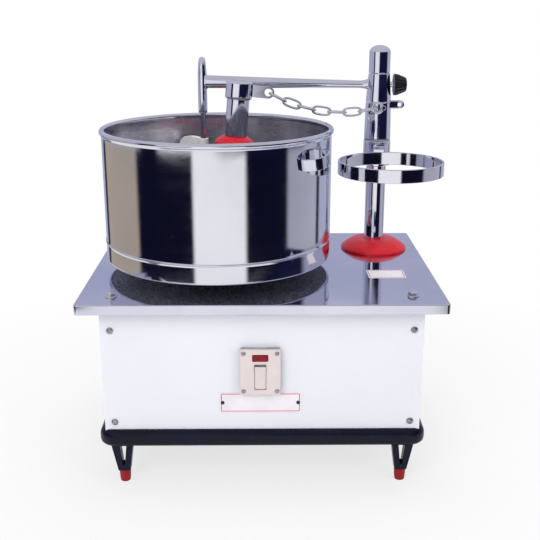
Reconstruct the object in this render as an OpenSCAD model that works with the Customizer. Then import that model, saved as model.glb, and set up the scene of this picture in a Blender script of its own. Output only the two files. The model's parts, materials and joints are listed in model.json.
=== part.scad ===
// Table-top wet grinder with a spinning steel drum, a conical roller stone on a
// lift-off arm, a belt drive in the cabinet and a ring that takes the stone when it is parked.
// Millimetres. Z is up, the front faces -Y, and the feet stand on Z = 0.

/* [Cabinet] */
// Width of the top plate
plate_w = 440; // [434:1:452]
// Depth of the top plate
plate_d = 331; // [327:1:345]
// Height of the top plate's upper face above the floor
plate_z = 244; // [240:1:252]
// Sheet thickness of the top plate
plate_t = 1.5; // [1:0.1:2]
// Depth of the lip turned down round the top plate
lip_h = 12; // [8:0.5:16]
// How far the top plate stands out beyond the panels
overhang = 25; // [23:0.5:27]
// Sheet thickness of the panels
panel_t = 1.2; // [0.8:0.1:1.6]
// Inset of the panel screws from the cabinet's edges
screw_in = 12; // [10:0.5:14]
// Drop of the upper panel screws below the top plate
screw_drop = 40.5; // [34:0.5:46]

/* [Stand] */
// Height of the rubber feet
foot_h = 16; // [12:0.5:20]
// Diameter of the rubber feet
foot_dia = 15; // [13:0.5:18]
// Height of the legs
leg_h = 36; // [32:0.5:40]
// Thickness of the legs, front to back
leg_t = 14; // [10:0.5:18]
// Height of the tray that carries the cabinet
tray_h = 21; // [18:0.5:28]
// How far the tray stands out beyond the panels
tray_out = 8.5; // [4.5:0.5:11]
// Corner radius of the tray
tray_r = 20; // [12:1:26]
// Thickness of the tray's floor
tray_floor = 3; // [2:0.5:5]
// Inset of the foot axes from the panels' faces
foot_in = 21; // [18:0.5:24]

/* [Drum] */
// Drum axis, to the left of the post's
drum_x = 216.5; // [214:0.5:219]
// Drum axis, in front of the post's
drum_y = 78; // [76:0.5:80]
// Outer radius of the drum's wall
drum_r = 147.3; // [145:0.1:150]
// Sheet thickness of the drum
drum_t = 1.2; // [0.8:0.1:1.6]
// Height of the drum
drum_h = 168.3; // [164:0.1:176]
// Gap between the top plate and the drum
drum_gap = 15.5; // [14:0.1:20]
// Radius of the rolled rim's section
rim_r = 3.6; // [2.5:0.1:4.5]
// Height of the bead above the drum's lower edge
bead_up = 25; // [20:0.5:30]
// Radius of the bead's section
bead_r = 1.6; // [1:0.1:2.2]
// Thickness of the granite base
base_h = 31.2; // [26:0.1:36]
// Height of the strap handles
grip_h = 15; // [10:0.5:18]
// Outer radius of the handle loops
grip_r = 21.5; // [18.5:0.5:24.5]
// Strap thickness of the handles
grip_t = 2.4; // [1.5:0.1:3.5]
// Drop of the handles' upper edge below the rim
grip_drop = 20.5; // [17:0.5:22]

/* [Drive] */
// Diameter of the drum shaft
shaft_dia = 20; // [16:0.5:22]
// Outer diameter of the bearing housing
housing_dia = 46; // [42:0.5:52]
// Outer diameter of the shaft bushes
bush_dia = 30; // [27:0.5:33]
// Length of each shaft bush
bush_h = 20; // [15:0.5:25]
// Length of the bearing housing below the plate's upper face
housing_h = 79; // [72:1:84]
// How far the housing stands above the plate
housing_up = 6; // [4:0.5:8]
// Thickness of the hub under the drum
hub_h = 8.7; // [7:0.1:8.9]
// Diameter of the hub under the drum
hub_dia = 90; // [70:1:110]
// Groove radius of the driven pulley in a cabinet of this size
big_r = 105.6; // [95:0.1:110]
// Groove radius of the motor pulley
small_r = 11.6; // [10:0.1:16]
// Thickness of the belt, across the groove's depth
belt_t = 7; // [5:0.5:8]
// Width of the belt
belt_w = 8; // [6:0.5:10]
// Height of the belt's middle above the floor
belt_z = 106; // [98:0.5:112]
// Motor axis, in from the right panel
motor_x = 71.8; // [68:0.1:76]
// Diameter of the motor's body
motor_dia = 110; // [90:1:116]
// Height of the motor's body
motor_h = 98; // [84:1:100]
// Diameter of the motor's shaft
motor_shaft_dia = 10; // [8:0.5:12]

/* [Post] */
// Post axis, in from the plate's right edge
post_x = 61; // [58:0.5:64]
// Post axis, in from the plate's back edge
post_y = 81.5; // [79:0.5:85]
// Diameter of the post
post_dia = 27; // [24:0.5:28]
// Wall of the post
post_wall = 3; // [2:0.5:4]
// Height of the collar's upper face above the plate
collar_up = 154; // [150:0.5:157]
// Height of the collar that carries the ring
collar_h = 34; // [28:0.5:40]
// Diameter of the collar
collar_dia = 37; // [35:0.5:39]
// Diameter of the red cap at the foot of the post
cap_dia = 92; // [80:1:93]
// Height of the red cap
cap_h = 16; // [12:0.5:20]
// Outer diameter of the stone ring
ring_dia = 136; // [130:0.5:140]
// Strap thickness of the stone ring
ring_t = 3; // [2:0.5:5]
// Height of the stone ring's strap
ring_h = 17; // [14:0.5:20]
// Drop of the ring's upper edge below the collar's
ring_drop = 13; // [11:0.5:16]
// Reach of the ring's centre in front of the post
ring_reach = 90; // [88:0.5:94]
// Reach of the ring's centre to the right of the post
ring_side = 7; // [5:0.5:9]

/* [Arm] */
// Height of the head that covers the post
head_h = 124.4; // [118:0.1:130]
// Diameter of the head at its lower end
head_dia = 36; // [34:0.5:37]
// Diameter of the head at its top
head_top_dia = 28.6; // [26:0.1:31]
// Wall of the head over the post's top
head_wall = 20; // [16:0.5:26]
// Height of the arm's lower edge above the head's lower end
arm_up = 67.7; // [65:0.1:70]
// Height of the arm at the head
arm_h0 = 9; // [8:0.5:12]
// Height of the arm at its free end
arm_h1 = 17.5; // [14:0.5:20]
// Thickness of the arm, front to back
arm_t = 13; // [10:0.5:16]
// Reach of the arm from the post to the scraper's rod
arm_len = 239.3; // [236:0.1:242]
// Reach of the arm from the post to the stone's boss
boss_len = 189; // [187:0.5:191]
// Distance of the boss in front of the arm
boss_out = 30; // [28:0.5:32]
// Diameter of the boss
boss_dia = 36; // [33:0.5:39]
// Height of the boss
boss_h = 23; // [20:0.5:28]
// Lean of the stone's axis
lean = 5; // [4:0.1:6]
// Diameter of the stone's holder tube
holder_dia = 30; // [27:0.5:32]
// Length of the holder tube below the boss
holder_h = 49; // [45:0.5:52]
// Diameter of the clamp knob
knob_dia = 29.5; // [26:0.5:34]
// Length of the clamp knob
knob_len = 17; // [16:0.5:26]
// Diameter of the clamp stud
stud_dia = 8; // [6:0.5:9]

/* [Stone] */
// Largest radius of the roller stone
stone_r = 56; // [50:0.5:58]
// Radius of the stone's top
stone_top_r = 24; // [20:0.5:27]
// Radius of the stone's bottom
stone_bot_r = 30; // [26:0.5:34]
// Diameter of the stone's spindle
spindle_dia = 14; // [12:0.5:16]
// Diameter of the stone's red cap
seal_dia = 55; // [50:0.5:58]
// Height of the stone's red cap
seal_h = 11; // [8:0.5:13]

/* [Scraper] */
// Diameter of the scraper's rod
rod_dia = 7.8; // [6:0.1:8.5]
// Outer diameter of the scraper's socket
socket_dia = 11.4; // [10.5:0.1:13]
// Thickness of the scraper's blade
blade_t = 7; // [5:0.5:9]
// Air between the blade's tip and the drum's rim, which it passes when the arm is lifted
blade_gap = 1; // [0.6:0.1:4]
// Direction of the blade from the right, seen from above
blade_turn = 125.4; // [125:0.1:140]
// Drop of the blade's upper edge below the arm
blade_drop = 67.7; // [64:0.1:74]

/* [Chain] */
// Diameter of the chain's wire
wire = 3; // [2.5:0.1:3.4]
// Distance from link to link
pitch = 20.6; // [19:0.1:21]
// Inner width of a link
link_in = 7.2; // [6.8:0.1:8]
// Slope of the first link
sag0 = -26; // [-28:0.5:-24]
// Slope of the last link
sag1 = 10; // [8:0.5:12]

/* [Switch] */
// How far the switch and the name plate sit left of the middle
switch_x = 2.5; // [0:0.5:6]
// Width of the switch box
box_w = 49; // [44:0.5:56]
// Height of the switch box
box_h = 59; // [54:0.5:64]
// Depth of the switch box
box_d = 9.5; // [9:0.5:12]
// Drop of the switch box's top below the plate
box_drop = 62; // [60:0.5:68]
// Width of the rocker
rocker_w = 13.6; // [11:0.1:15]
// Height of the rocker
rocker_h = 31; // [27:0.5:33]
// Tilt of the rocker to either side
rocker_tilt = 8; // [5:0.5:10]
// Width of the name plate
name_w = 100; // [80:1:110]
// Height of the name plate
name_h = 27; // [20:0.5:28]

/* [Fits] */
// Play of a turning shaft in its bore, on the radius
run = 0.05; // [0.03:0.01:0.08]
// Play of a screw or plug in its hole, on the radius
play = 0.1; // [0.05:0.01:0.2]
// Air between pieces that pass one another
air = 0.4; // [0.3:0.05:0.6]

/* [Hidden] */
$fn = 96;
eps = 0.01;

// Cabinet levels and half sizes
cab_x = plate_w / 2 - overhang;
cab_y = plate_d / 2 - overhang;
in_x = cab_x - panel_t;
in_y = cab_y - panel_t;
tray_z = foot_h + leg_h;
floor_z = tray_z + tray_floor;
roof_z = plate_z - plate_t;
rail_h = 4;
rail_w = 28;
rail_z = roof_z - rail_h;
bridge_h = 5;
bridge_z = rail_z - bridge_h;
bridge_w = 110;
bolt_x = in_x - 12.8;
bolt_y = in_y - 8;
bolt_dia = 6;
screw_dia = 4;
screw_hi = plate_z - screw_drop;
screw_lo = tray_z + tray_h + 10;

// Axes, from the plate's centre
px = plate_w / 2 - post_x;
py = plate_d / 2 - post_y;
dx = px - drum_x;
dy = py - drum_y;
mx = in_x - motor_x;

// Frame: the box's middle lies on the Z axis, and the ring stands out past the plate on the right
ring_x = px + ring_side;
ring_y = py - ring_reach;
plate_cx = (plate_w / 2 - (ring_x + ring_dia / 2)) / 2;

// Drum and drive levels
drum_z = plate_z + drum_gap;
rim_z = drum_z + drum_h;
stone_z = drum_z + drum_t;
base_z = stone_z + base_h;
housing_top = plate_z + housing_up;
housing_z = plate_z - housing_h;
hub_z = stone_z - hub_h;
flange_dia = housing_dia + 50;
flange_h = 6;
flange_w = 6;
pulley_h = belt_w + 2 * flange_w;
belt_in = air;
rim_over = 2.4;
room = min(in_x + dx, in_y - abs(dy));
room_0 = 133.3;
pull_r = big_r + room - room_0;
big_out = pull_r + belt_in + belt_t + rim_over;
small_out = small_r + belt_in + belt_t + rim_over;
shaft_z = belt_z - pulley_h / 2 - 8;
motor_z = bridge_z - motor_h;

// Post and arm levels
collar_z = plate_z + collar_up;
ring_z = collar_z - ring_drop - ring_h;
wash_z = collar_z + air;
wash_h = 2;
head_z = wash_z + wash_h + air;
head_bore = post_dia + 2 * run;
post_top = head_z + head_h - head_wall - air;
arm_z = head_z + arm_up;
knob_z = arm_z + arm_h0 / 2;
rod_x = px - arm_len;
boss_x = px - boss_len;
boss_y = py - boss_out;
boss_z = arm_z + 0.6;

// Levels along the stone's own axis, counted down from the middle of the boss
hold_0 = boss_h / 2;
hold_1 = hold_0 + holder_h;
seal_0 = hold_1 + air;
stone_0 = seal_0 + seal_h;
stone_1 = (boss_z - base_z - 0.6) / cos(lean);
stone_len = stone_1 - stone_0;
bot_cone = stone_bot_r * tan(lean + 1);
bush_len = 76;
bush_1 = stone_0 + bush_len;
nut_h = 8;
nut_dia = 24;
well_dia = 28;

// Chain: each link turns a little further than the one before it
link_n = 7;
chain_y = boss_y + 6;
hook_x = boss_x + boss_dia / 2 + 20.75;
hook_z = arm_z - 3.5;
function slope(i) = sag0 + (sag1 - sag0) * i / (link_n - 1);
function run_x(i) = i == 0 ? 0 : run_x(i - 1) + pitch * cos(slope(i - 1));
function run_z(i) = i == 0 ? 0 : run_z(i - 1) + pitch * sin(slope(i - 1));
eye_hole = wire + 7;
eye_rim = 3.4;
eye_t = 3.2;
lug_t = 3.6;
link_play = 0.2;
hang = 1.2;
chain_x = hook_x + (eye_hole / 2 - hang) * cos(sag0);
chain_z = hook_z + (eye_hole / 2 - hang) * sin(sag0);
eye_x = chain_x + run_x(link_n) + (eye_hole / 2 - hang) * cos(sag1);
eye_z = chain_z + run_z(link_n) + (eye_hole / 2 - hang) * sin(sag1);

// Switch
box_top = plate_z - box_drop;
box_z = box_top - box_h / 2;
box_y = -cab_y - box_d;
rock_z = box_top - 36;
rock_y = -cab_y - box_d / 2;
neon_z = box_top - 11;
neon_w = 19;
neon_h = 8.5;
name_z = box_top - box_h - 0.6 - name_h / 2;

module place() translate([plate_cx, 0, 0]) children();
module corners(x, y) for (sx = [-1, 1], sy = [-1, 1]) translate([sx * x, sy * y, 0]) children();
module bar(x, y, z0, z1) translate([-x / 2, -y / 2, z0]) cube([x, y, z1 - z0]);
module tube(r1, r0, z0, z1) translate([0, 0, z0]) difference() {
  cylinder(r = r1, h = z1 - z0);
  translate([0, 0, -1]) cylinder(r = r0, h = z1 - z0 + 2);
}
module rod(r, z0, z1) translate([0, 0, z0]) cylinder(r = r, h = z1 - z0);
module hexagon(af, z0, z1) translate([0, 0, z0]) cylinder(d = af / cos(30), h = z1 - z0, $fn = 6);
module at_front(x, z) translate([x, -cab_y, z]) rotate([90, 0, 0]) children();
module at_drum() translate([dx, dy, 0]) children();
module at_motor() translate([mx, dy, 0]) children();
module at_post() translate([px, py, 0]) children();
module at_stone() translate([boss_x, boss_y, boss_z]) rotate([0, lean, 0]) children();
module at_rod() translate([rod_x, py, 0]) children();
module panel_spots() for (sx = [-1, 1], z = [screw_lo, screw_hi]) at_front(sx * (cab_x - screw_in), z) children();
module at_switch() translate([-switch_x, 0, 0]) children();
module box_spots() for (sx = [-1, 1], sz = [-1, 1])
  at_front(sx * (box_w / 2 - 4.2), box_z + sz * (box_h / 2 - 5)) children();
module name_spots() for (s = [-1, 1]) at_front(s * (name_w / 2 - 3.5), name_z) children();
module bridge_spots() for (sx = [-1, 1], sy = [-1, 1])
  translate([sx * (bridge_w / 2 - 15), sy * (in_y - 22), 0]) children();
module rounded(x, y, r, h) linear_extrude(height = h) union() {
  square([2 * x - 2 * r, 2 * y], center = true);
  square([2 * x, 2 * y - 2 * r], center = true);
  corners(x - r, y - r) circle(r = r);
}

// Stand
module base_tray() color("#15161c") place() difference() {
  union() {
    translate([0, 0, tray_z]) rounded(cab_x + tray_out, cab_y + tray_out, tray_r, tray_h - 7);
    translate([0, 0, tray_z + tray_h - 7])
      rounded(cab_x + tray_out - 1.2, cab_y + tray_out - 1.2, tray_r - 1.2, 7);
  }
  bar(2 * cab_x, 2 * cab_y, floor_z, tray_z + tray_h + 1);
}

module leg_shape() difference() {
  polygon([[-15, leg_h], [12.3, leg_h], [foot_dia / 2, 0], [-foot_dia / 2, 0]]);
  polygon([[-4.4, leg_h - 2], [3.6, leg_h - 2], [0.8, 8], [-1.6, 8]]);
}
module legs() color("#17182a") place() for (sx = [-1, 1], sy = [-1, 1])
  translate([sx * (cab_x - foot_in), sy * (cab_y - leg_t / 2 + 2), foot_h]) mirror([sx > 0 ? 1 : 0, 0, 0])
    union() {
      translate([0, leg_t / 2, 0]) rotate([90, 0, 0]) linear_extrude(height = leg_t) leg_shape();
      rod(foot_dia / 4, -foot_h + 6, 1);
    }
module feet() color("#b81c28") place() corners(cab_x - foot_in, cab_y - leg_t / 2 + 2) difference() {
  union() {
    rod(foot_dia / 2, 2, foot_h);
    cylinder(r1 = foot_dia / 2 - 1.2, r2 = foot_dia / 2, h = 2);
  }
  rod(foot_dia / 4 + play, 6 - play, foot_h + 1);
}

// Cabinet
module chassis() color("#5d6068") place() difference() {
  union() {
    difference() {
      bar(2 * in_x, 2 * in_y, rail_z, roof_z);
      bar(2 * (in_x - rail_w), 2 * (in_y - rail_w), rail_z - 1, roof_z + 1);
    }
    for (sx = [0, 1], sy = [0, 1]) mirror([sx, 0, 0]) mirror([0, sy, 0]) {
      translate([in_x - 20, in_y - 2, floor_z]) cube([20, 2, rail_z + 1 - floor_z]);
      translate([in_x - 2, in_y - 20, floor_z]) cube([2, 20, rail_z + 1 - floor_z]);
    }
  }
  corners(bolt_x, bolt_y) rod(bolt_dia / 2 + play, rail_z - 1, roof_z + 1);
  for (x = [dx, mx]) translate([x, 0, 0]) bridge_spots()
    rod(bolt_dia / 2 + play, rail_z - 1, roof_z + 1);
  at_post() rod(post_dia / 2 + play, rail_z - 1, roof_z + 1);
  panel_spots() rod(screw_dia / 2 + play, -20, 1);
}
module front_panel() color("#eeedf3") place() difference() {
  translate([-cab_x, -cab_y, floor_z]) cube([2 * cab_x, panel_t, roof_z - floor_z]);
  panel_spots() rod(screw_dia / 2 + play, -20, 1);
  at_switch() box_spots() rod(1.5 + play, -20, 1);
  at_switch() name_spots() rod(1 + play, -20, 1);
}
module side_panels() color("#eeedf3") place() for (s = [0, 1]) mirror([s, 0, 0])
  translate([in_x, -in_y, floor_z]) cube([panel_t, 2 * in_y, roof_z - floor_z]);
gland_x = 120;
gland_z = tray_z + tray_h + 29;
module back_panel() color("#e6e5eb") place() difference() {
  translate([-cab_x, in_y, floor_z]) cube([2 * cab_x, panel_t, roof_z - floor_z]);
  for (i = [0 : 5]) translate([-130, in_y - 1, floor_z + 60 + 12 * i]) cube([80, panel_t + 2, 4]);
  translate([gland_x, in_y - 1, gland_z]) rotate([-90, 0, 0]) rod(6 + play, 0, panel_t + 2);
}
module panel_screws() color("#c9cad0") place() panel_spots() union() {
  rod(screw_dia / 2, -panel_t - 6, 0);
  cylinder(r1 = 4.3, r2 = 2.8, h = 2.4);
}
module top_plate() color("#c4c6d4") place() difference() {
  bar(plate_w, plate_d, plate_z - lip_h, plate_z);
  bar(plate_w - 2 * plate_t, plate_d - 2 * plate_t, plate_z - lip_h - 1, roof_z);
  corners(bolt_x, bolt_y) rod(bolt_dia / 2 + play, roof_z - 1, plate_z + 1);
  at_drum() rod(housing_dia / 2 + play, roof_z - 1, plate_z + 1);
  at_post() rod(post_dia / 2 + play, roof_z - 1, plate_z + 1);
}
module plate_bolts() color("#d5d6dc") place() corners(bolt_x, bolt_y) union() {
  rod(bolt_dia / 2, rail_z - 8, plate_z);
  hexagon(10, plate_z, plate_z + 4.5);
  translate([0, 0, plate_z + 4.5]) cylinder(r1 = 4.6, r2 = 3.4, h = 1);
}
module plate_nuts() color("#b9bac0") place() corners(bolt_x, bolt_y) difference() {
  hexagon(10, rail_z - 5, rail_z);
  rod(bolt_dia / 2 + play, rail_z - 6, rail_z + 1);
}
module bridge_plate(x) difference() {
  translate([x, 0, 0]) bar(bridge_w, 2 * in_y - 32, bridge_z, rail_z);
  translate([x, 0, 0]) bridge_spots() rod(bolt_dia / 2 + play, bridge_z - 1, rail_z + 1);
}
module bearing_bridge() color("#6d7078") place() difference() {
  bridge_plate(dx);
  at_drum() rod(housing_dia / 2 + play, bridge_z - 1, rail_z + 1);
}
module bridge_bolts() color("#b9bac0") place() for (x = [dx, mx]) translate([x, 0, 0])
  bridge_spots() union() {
    rod(bolt_dia / 2, bridge_z, roof_z - 0.5);
    hexagon(10, bridge_z - 4.5, bridge_z);
  }
module bearing_housing() color("#4b4e55") place() at_drum() difference() {
  union() {
    rod(housing_dia / 2, housing_z, housing_top);
    rod(flange_dia / 2, bridge_z - flange_h, bridge_z);
  }
  rod(bush_dia / 2 - 2, housing_z - 1, housing_top + 1);
  rod(bush_dia / 2 + play / 2, housing_z - 1, housing_z + bush_h);
  rod(bush_dia / 2 + play / 2, housing_top - bush_h, housing_top + 1);
}
module shaft_bushes() color("#b08d4f") place() at_drum() for (z = [housing_z, housing_top - bush_h])
  tube(bush_dia / 2, shaft_dia / 2 + run, z, z + bush_h);
module thrust_washer() color("#b08d4f") place() at_drum()
  tube(housing_dia / 2 - 4, shaft_dia / 2 + air, housing_top, hub_z - air);

// Drive
module motor_bridge() color("#6d7078") place() difference() {
  bridge_plate(mx);
  at_motor() for (a = [45 : 90 : 315]) rotate(a) translate([motor_dia / 2 - 12, 0, 0])
    rod(bolt_dia / 2 + play, bridge_z - 1, rail_z + 1);
  at_post() rod(post_dia / 2 + play, bridge_z - 1, rail_z + 1);
}
module motor_body() color("#3c4048") place() at_motor() difference() {
  union() {
    rod(motor_dia / 2 - 3, motor_z, bridge_z);
    rod(motor_dia / 2, motor_z + 18, bridge_z - 18);
    for (a = [0 : 15 : 345]) rotate(a) translate([motor_dia / 2 - 2, -1, motor_z + 24])
      cube([3.5, 2, motor_h - 48]);
  }
  rod(motor_shaft_dia / 2 + run, motor_z - 1, motor_z + motor_h - 12);
  for (a = [45 : 90 : 315]) rotate(a) translate([motor_dia / 2 - 12, 0, 0])
    rod(bolt_dia / 2 + play, bridge_z - 14, bridge_z + 1);
}
module motor_bolts() color("#b9bac0") place() at_motor() for (a = [45 : 90 : 315])
  rotate(a) translate([motor_dia / 2 - 12, 0, 0]) union() {
    rod(bolt_dia / 2, bridge_z - 12, rail_z);
    rod(5, rail_z, rail_z + 3);
  }
can_dia = 36;
can_x = 20;
can_gap = 3;
can_y = in_y - can_gap - can_dia / 2;
can_up = 78;
can_h = 72;
can_z = floor_z + can_up;
tag_x = 7;
tag_r = 2;
tag_h = 8;
clip_t = 1.6;
clip_w = 50;
clip_h = 18;
clip_up = 22;
module capacitor() color("#2b2c30") place() translate([can_x, can_y, 0]) union() {
  rod(can_dia / 2, can_z, can_z + can_h);
  for (s = [-1, 1]) translate([s * tag_x, 0, 0]) rod(tag_r, can_z + can_h, can_z + can_h + tag_h);
}
module capacitor_clip() color("#b9bac0") place() translate([can_x, can_y, 0]) difference() {
  union() {
    rod(can_dia / 2 + clip_t, can_z + clip_up, can_z + clip_up + clip_h);
    translate([-clip_w / 2, can_dia / 2 - 1, can_z + clip_up]) cube([clip_w, can_gap + 1, clip_h]);
  }
  rod(can_dia / 2 + play, can_z + clip_up - 1, can_z + clip_up + clip_h + 1);
}
span = mx - dx;
function belt_turn(a, b) = acos((a - b) / span);
function belt_line(a, b) = let (t = belt_turn(a, b), n = 60) concat(
  [for (i = [0 : n]) let (w = t + (360 - 2 * t) * i / n) a * [cos(w), sin(w)]],
  [for (i = [0 : n]) let (w = -t + 2 * t * i / n) [span, 0] + b * [cos(w), sin(w)]]);
module v_belt() color("#1b1b1d") place() at_drum() translate([0, 0, belt_z - belt_w / 2])
  linear_extrude(height = belt_w) difference() {
    polygon(belt_line(pull_r + belt_in + belt_t, small_r + belt_in + belt_t));
    polygon(belt_line(pull_r + belt_in, small_r + belt_in));
  }
module grooved(r, out, bore, z) difference() {
  rod(out, z - pulley_h / 2, z + pulley_h / 2);
  tube(out + 1, r, z - belt_w / 2 - air, z + belt_w / 2 + air);
  rod(bore, z - pulley_h, z + pulley_h);
}
module driven_pulley() color("#7d8087") place() at_drum() difference() {
  grooved(pull_r, big_out, shaft_dia / 2 + play / 2, belt_z);
  for (a = [0 : 60 : 300]) rotate(a) translate([pull_r * 0.58, 0, 0]) rod(pull_r * 0.2, 0, plate_z);
}
module motor_pulley() color("#7d8087") place() at_motor()
  grooved(small_r, small_out, motor_shaft_dia / 2 + play / 2, belt_z);
module motor_shaft() color("#c8c9ce") place() at_motor()
  rod(motor_shaft_dia / 2, belt_z - pulley_h / 2 - 4, motor_z + motor_h - 13);
module motor_fan() color("#3a3c44") place() at_motor() difference() {
  union() {
    rod(13, belt_z + pulley_h / 2 + 2, motor_z - 4);
    rod(motor_dia / 2 - 8, motor_z - 6, motor_z - 4);
    for (a = [0 : 45 : 315]) rotate(a)
      translate([10, -1, belt_z + pulley_h / 2 + 4]) cube([motor_dia / 2 - 20, 2, motor_z - belt_z - pulley_h / 2 - 9]);
  }
  rod(motor_shaft_dia / 2 + play / 2, belt_z, motor_z);
}

// Switch and plates
module switch_box() color("#e6d9d6") place() at_switch() difference() {
  translate([-box_w / 2, box_y, box_z - box_h / 2]) cube([box_w, box_d, box_h]);
  translate([-rocker_w / 2 - air, box_y - 1, rock_z - rocker_h / 2 - 1.2])
    cube([rocker_w + 2 * air, box_d + 2, rocker_h + 2.4]);
  translate([0, rock_y, rock_z]) rotate([0, 90, 0]) rod(1.5 + run, -rocker_w / 2 - 4, rocker_w / 2 + 4);
  translate([-neon_w / 2 - play, box_y - 1, neon_z - neon_h / 2 - play])
    cube([neon_w + 2 * play, 4, neon_h + 2 * play]);
  box_spots() rod(1.5 + play, -1, box_d + 1);
}
module switch_screws() color("#9fa0a8") place() at_switch() box_spots() union() {
  rod(1.5, -panel_t - 4, box_d);
  translate([0, 0, box_d]) cylinder(r1 = 2.8, r2 = 2, h = 1.3);
}
module neon_lens() color("#8c191e") place() at_switch()
  translate([-neon_w / 2, box_y - 0.7, neon_z - neon_h / 2]) cube([neon_w, 3.7, neon_h]);
module rocker_shape() polygon([[-3, -rocker_h * 0.22], [0, -rocker_h * 0.42], [box_d / 2 + 0.8, -rocker_h / 2],
  [box_d / 2 + 0.8, rocker_h / 2], [0, rocker_h * 0.42], [-3, rocker_h * 0.22]]);
module rocker() color("#e4d6d3") place() at_switch() translate([0, rock_y, rock_z]) rotate([rocker_tilt, 0, 0]) union() {
  translate([-rocker_w / 2, 0, 0]) rotate([0, 0, -90]) rotate([90, 0, 0])
    translate([0, 0, -rocker_w]) linear_extrude(height = rocker_w) rocker_shape();
  rotate([0, 90, 0]) rod(1.5, -rocker_w / 2 - 3.4, rocker_w / 2 + 3.4);
}
module name_plate() color("#f2eef0") place() at_switch() difference() {
  translate([-name_w / 2, -cab_y - 1, name_z - name_h / 2]) cube([name_w, 1, name_h]);
  name_spots() rod(1 + play, -1, 2);
}
module name_pins() color("#1a1a1c") place() at_switch() name_spots() union() {
  rod(1, -panel_t - 3, 1);
  translate([0, 0, 1]) cylinder(r1 = 2.4, r2 = 1.4, h = 1.2);
}
label_w = 48;
label_d = 34;
label_side = 1;
label_out = 129;
module plate_label() color("#f0e9ec") place() translate([px + label_side, py - label_out, 0]) bar(label_w, label_d, plate_z, plate_z + 0.4);
module cord_gland() color("#1a1b1f") place() translate([gland_x, cab_y, gland_z]) rotate([-90, 0, 0]) difference() {
  union() {
    rod(6, -panel_t - 5, 1);
    cylinder(r1 = 9, r2 = 6.5, h = 9);
    rod(9, -panel_t - 9, -panel_t);
  }
  rod(3.6, -20, 20);
}

// Post and ring
module post() color("#c9cad2") place() at_post() union() {
  tube(post_dia / 2, post_dia / 2 - post_wall, bridge_z - 24, post_top);
  tube(post_dia / 2 + 6, post_dia / 2 - post_wall, plate_z, plate_z + 7);
}
module post_nut() color("#b9bac0") place() at_post() difference() {
  hexagon(41, bridge_z - 14, bridge_z);
  rod(post_dia / 2 + play, bridge_z - 15, bridge_z + 1);
}
cap_hub = post_dia / 2 + 5;
cap_round = 0.5;
function bell(u) = cap_hub + (cap_dia / 2 - cap_hub) * pow(1 - u, cap_round);
module post_cap() color("#be1c28") place() at_post() difference() {
  rotate_extrude() polygon(concat([[0, plate_z], [cap_dia / 2, plate_z], [cap_dia / 2, plate_z + 3]],
    [for (i = [1 : 12]) [bell(i / 12), plate_z + 3 + (cap_h - 3) * i / 12]], [[0, plate_z + cap_h]]));
  rod(post_dia / 2 + play, plate_z - 1, plate_z + cap_h + 1);
  rod(post_dia / 2 + 6 + play, plate_z - 1, plate_z + 7 + play);
}
module ring_collar() color("#c4c5cd") place() at_post()
  tube(collar_dia / 2, post_dia / 2 + play, collar_z - collar_h, collar_z);
lug_w = 16;
lug_out = 16;
lug_in = 6;
lug_up = 1;
lug_over = 7;
module stone_ring() color("#c4c5cd") place() difference() {
  union() {
    translate([ring_x, ring_y, 0]) rod(ring_dia / 2, ring_z, ring_z + ring_h);
    translate([px - lug_w / 2, py - collar_dia / 2 - lug_out, ring_z + lug_up]) cube([lug_w, lug_out + lug_in, ring_h + lug_over]);
  }
  translate([ring_x, ring_y, 0]) rod(ring_dia / 2 - ring_t, ring_z - 1, ring_z + ring_h + 20);
  at_post() rod(collar_dia / 2, ring_z - 1, ring_z + ring_h + 20);
}

// Drum
turn_in = 3;
module drum_shell() color("#c6c8d2") place() at_drum() rotate_extrude() union() {
  polygon([[drum_r - turn_in, drum_z], [drum_r - 1.5, drum_z], [drum_r, drum_z + 1.5], [drum_r, rim_z - rim_r],
    [drum_r - drum_t, rim_z - rim_r], [drum_r - drum_t, stone_z], [drum_r - turn_in, stone_z]]);
  difference() {
    translate([drum_r, drum_z + bead_up]) circle(r = bead_r);
    translate([0, drum_z]) square([drum_r - drum_t / 2, drum_h]);
  }
  translate([drum_r - rim_set, rim_z - rim_r]) circle(r = rim_r);
}
hub_in = 12;
hub_pin = 6;
hub_deep = 13;
module base_stone() color("#4c4c50") place() at_drum() difference() {
  rod(drum_r - drum_t - play, stone_z, base_z);
  for (a = [0 : 120 : 240]) rotate(a) translate([hub_dia / 2 - hub_in, 0, 0])
    rod(hub_pin / 2 + play, stone_z - 1, stone_z + hub_deep + 1);
}
grip_at = -37;
grip_tilt = 12;
module drum_grips() color("#c6c8d2") place() at_drum() for (a = [grip_at, grip_at + 180]) rotate(a) difference() {
  translate([drum_r, 0, rim_z - grip_drop - grip_h / 2]) rotate([grip_tilt, 0, 0])
    tube(grip_r, grip_r - grip_t, -grip_h / 2, grip_h / 2);
  rod(drum_r, rim_z - grip_drop - 2 * grip_h, rim_z - grip_drop + grip_h);
}
module drum_hub() color("#80838a") place() at_drum() difference() {
  rod(hub_dia / 2, hub_z, stone_z);
  rod(shaft_dia / 2 + play / 2, hub_z - 1, stone_z + 1);
  for (a = [0 : 120 : 240]) rotate(a) translate([hub_dia / 2 - hub_in, 0, 0])
    rod(hub_pin / 2 + play, hub_z - 1, stone_z + 1);
}
module hub_screws() color("#b9bac0") place() at_drum() for (a = [0 : 120 : 240]) rotate(a)
  translate([hub_dia / 2 - hub_in, 0, 0]) rod(hub_pin / 2, hub_z, stone_z + hub_deep);
module drum_shaft() color("#c8c9ce") place() at_drum() rod(shaft_dia / 2, shaft_z, stone_z - air);

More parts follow.
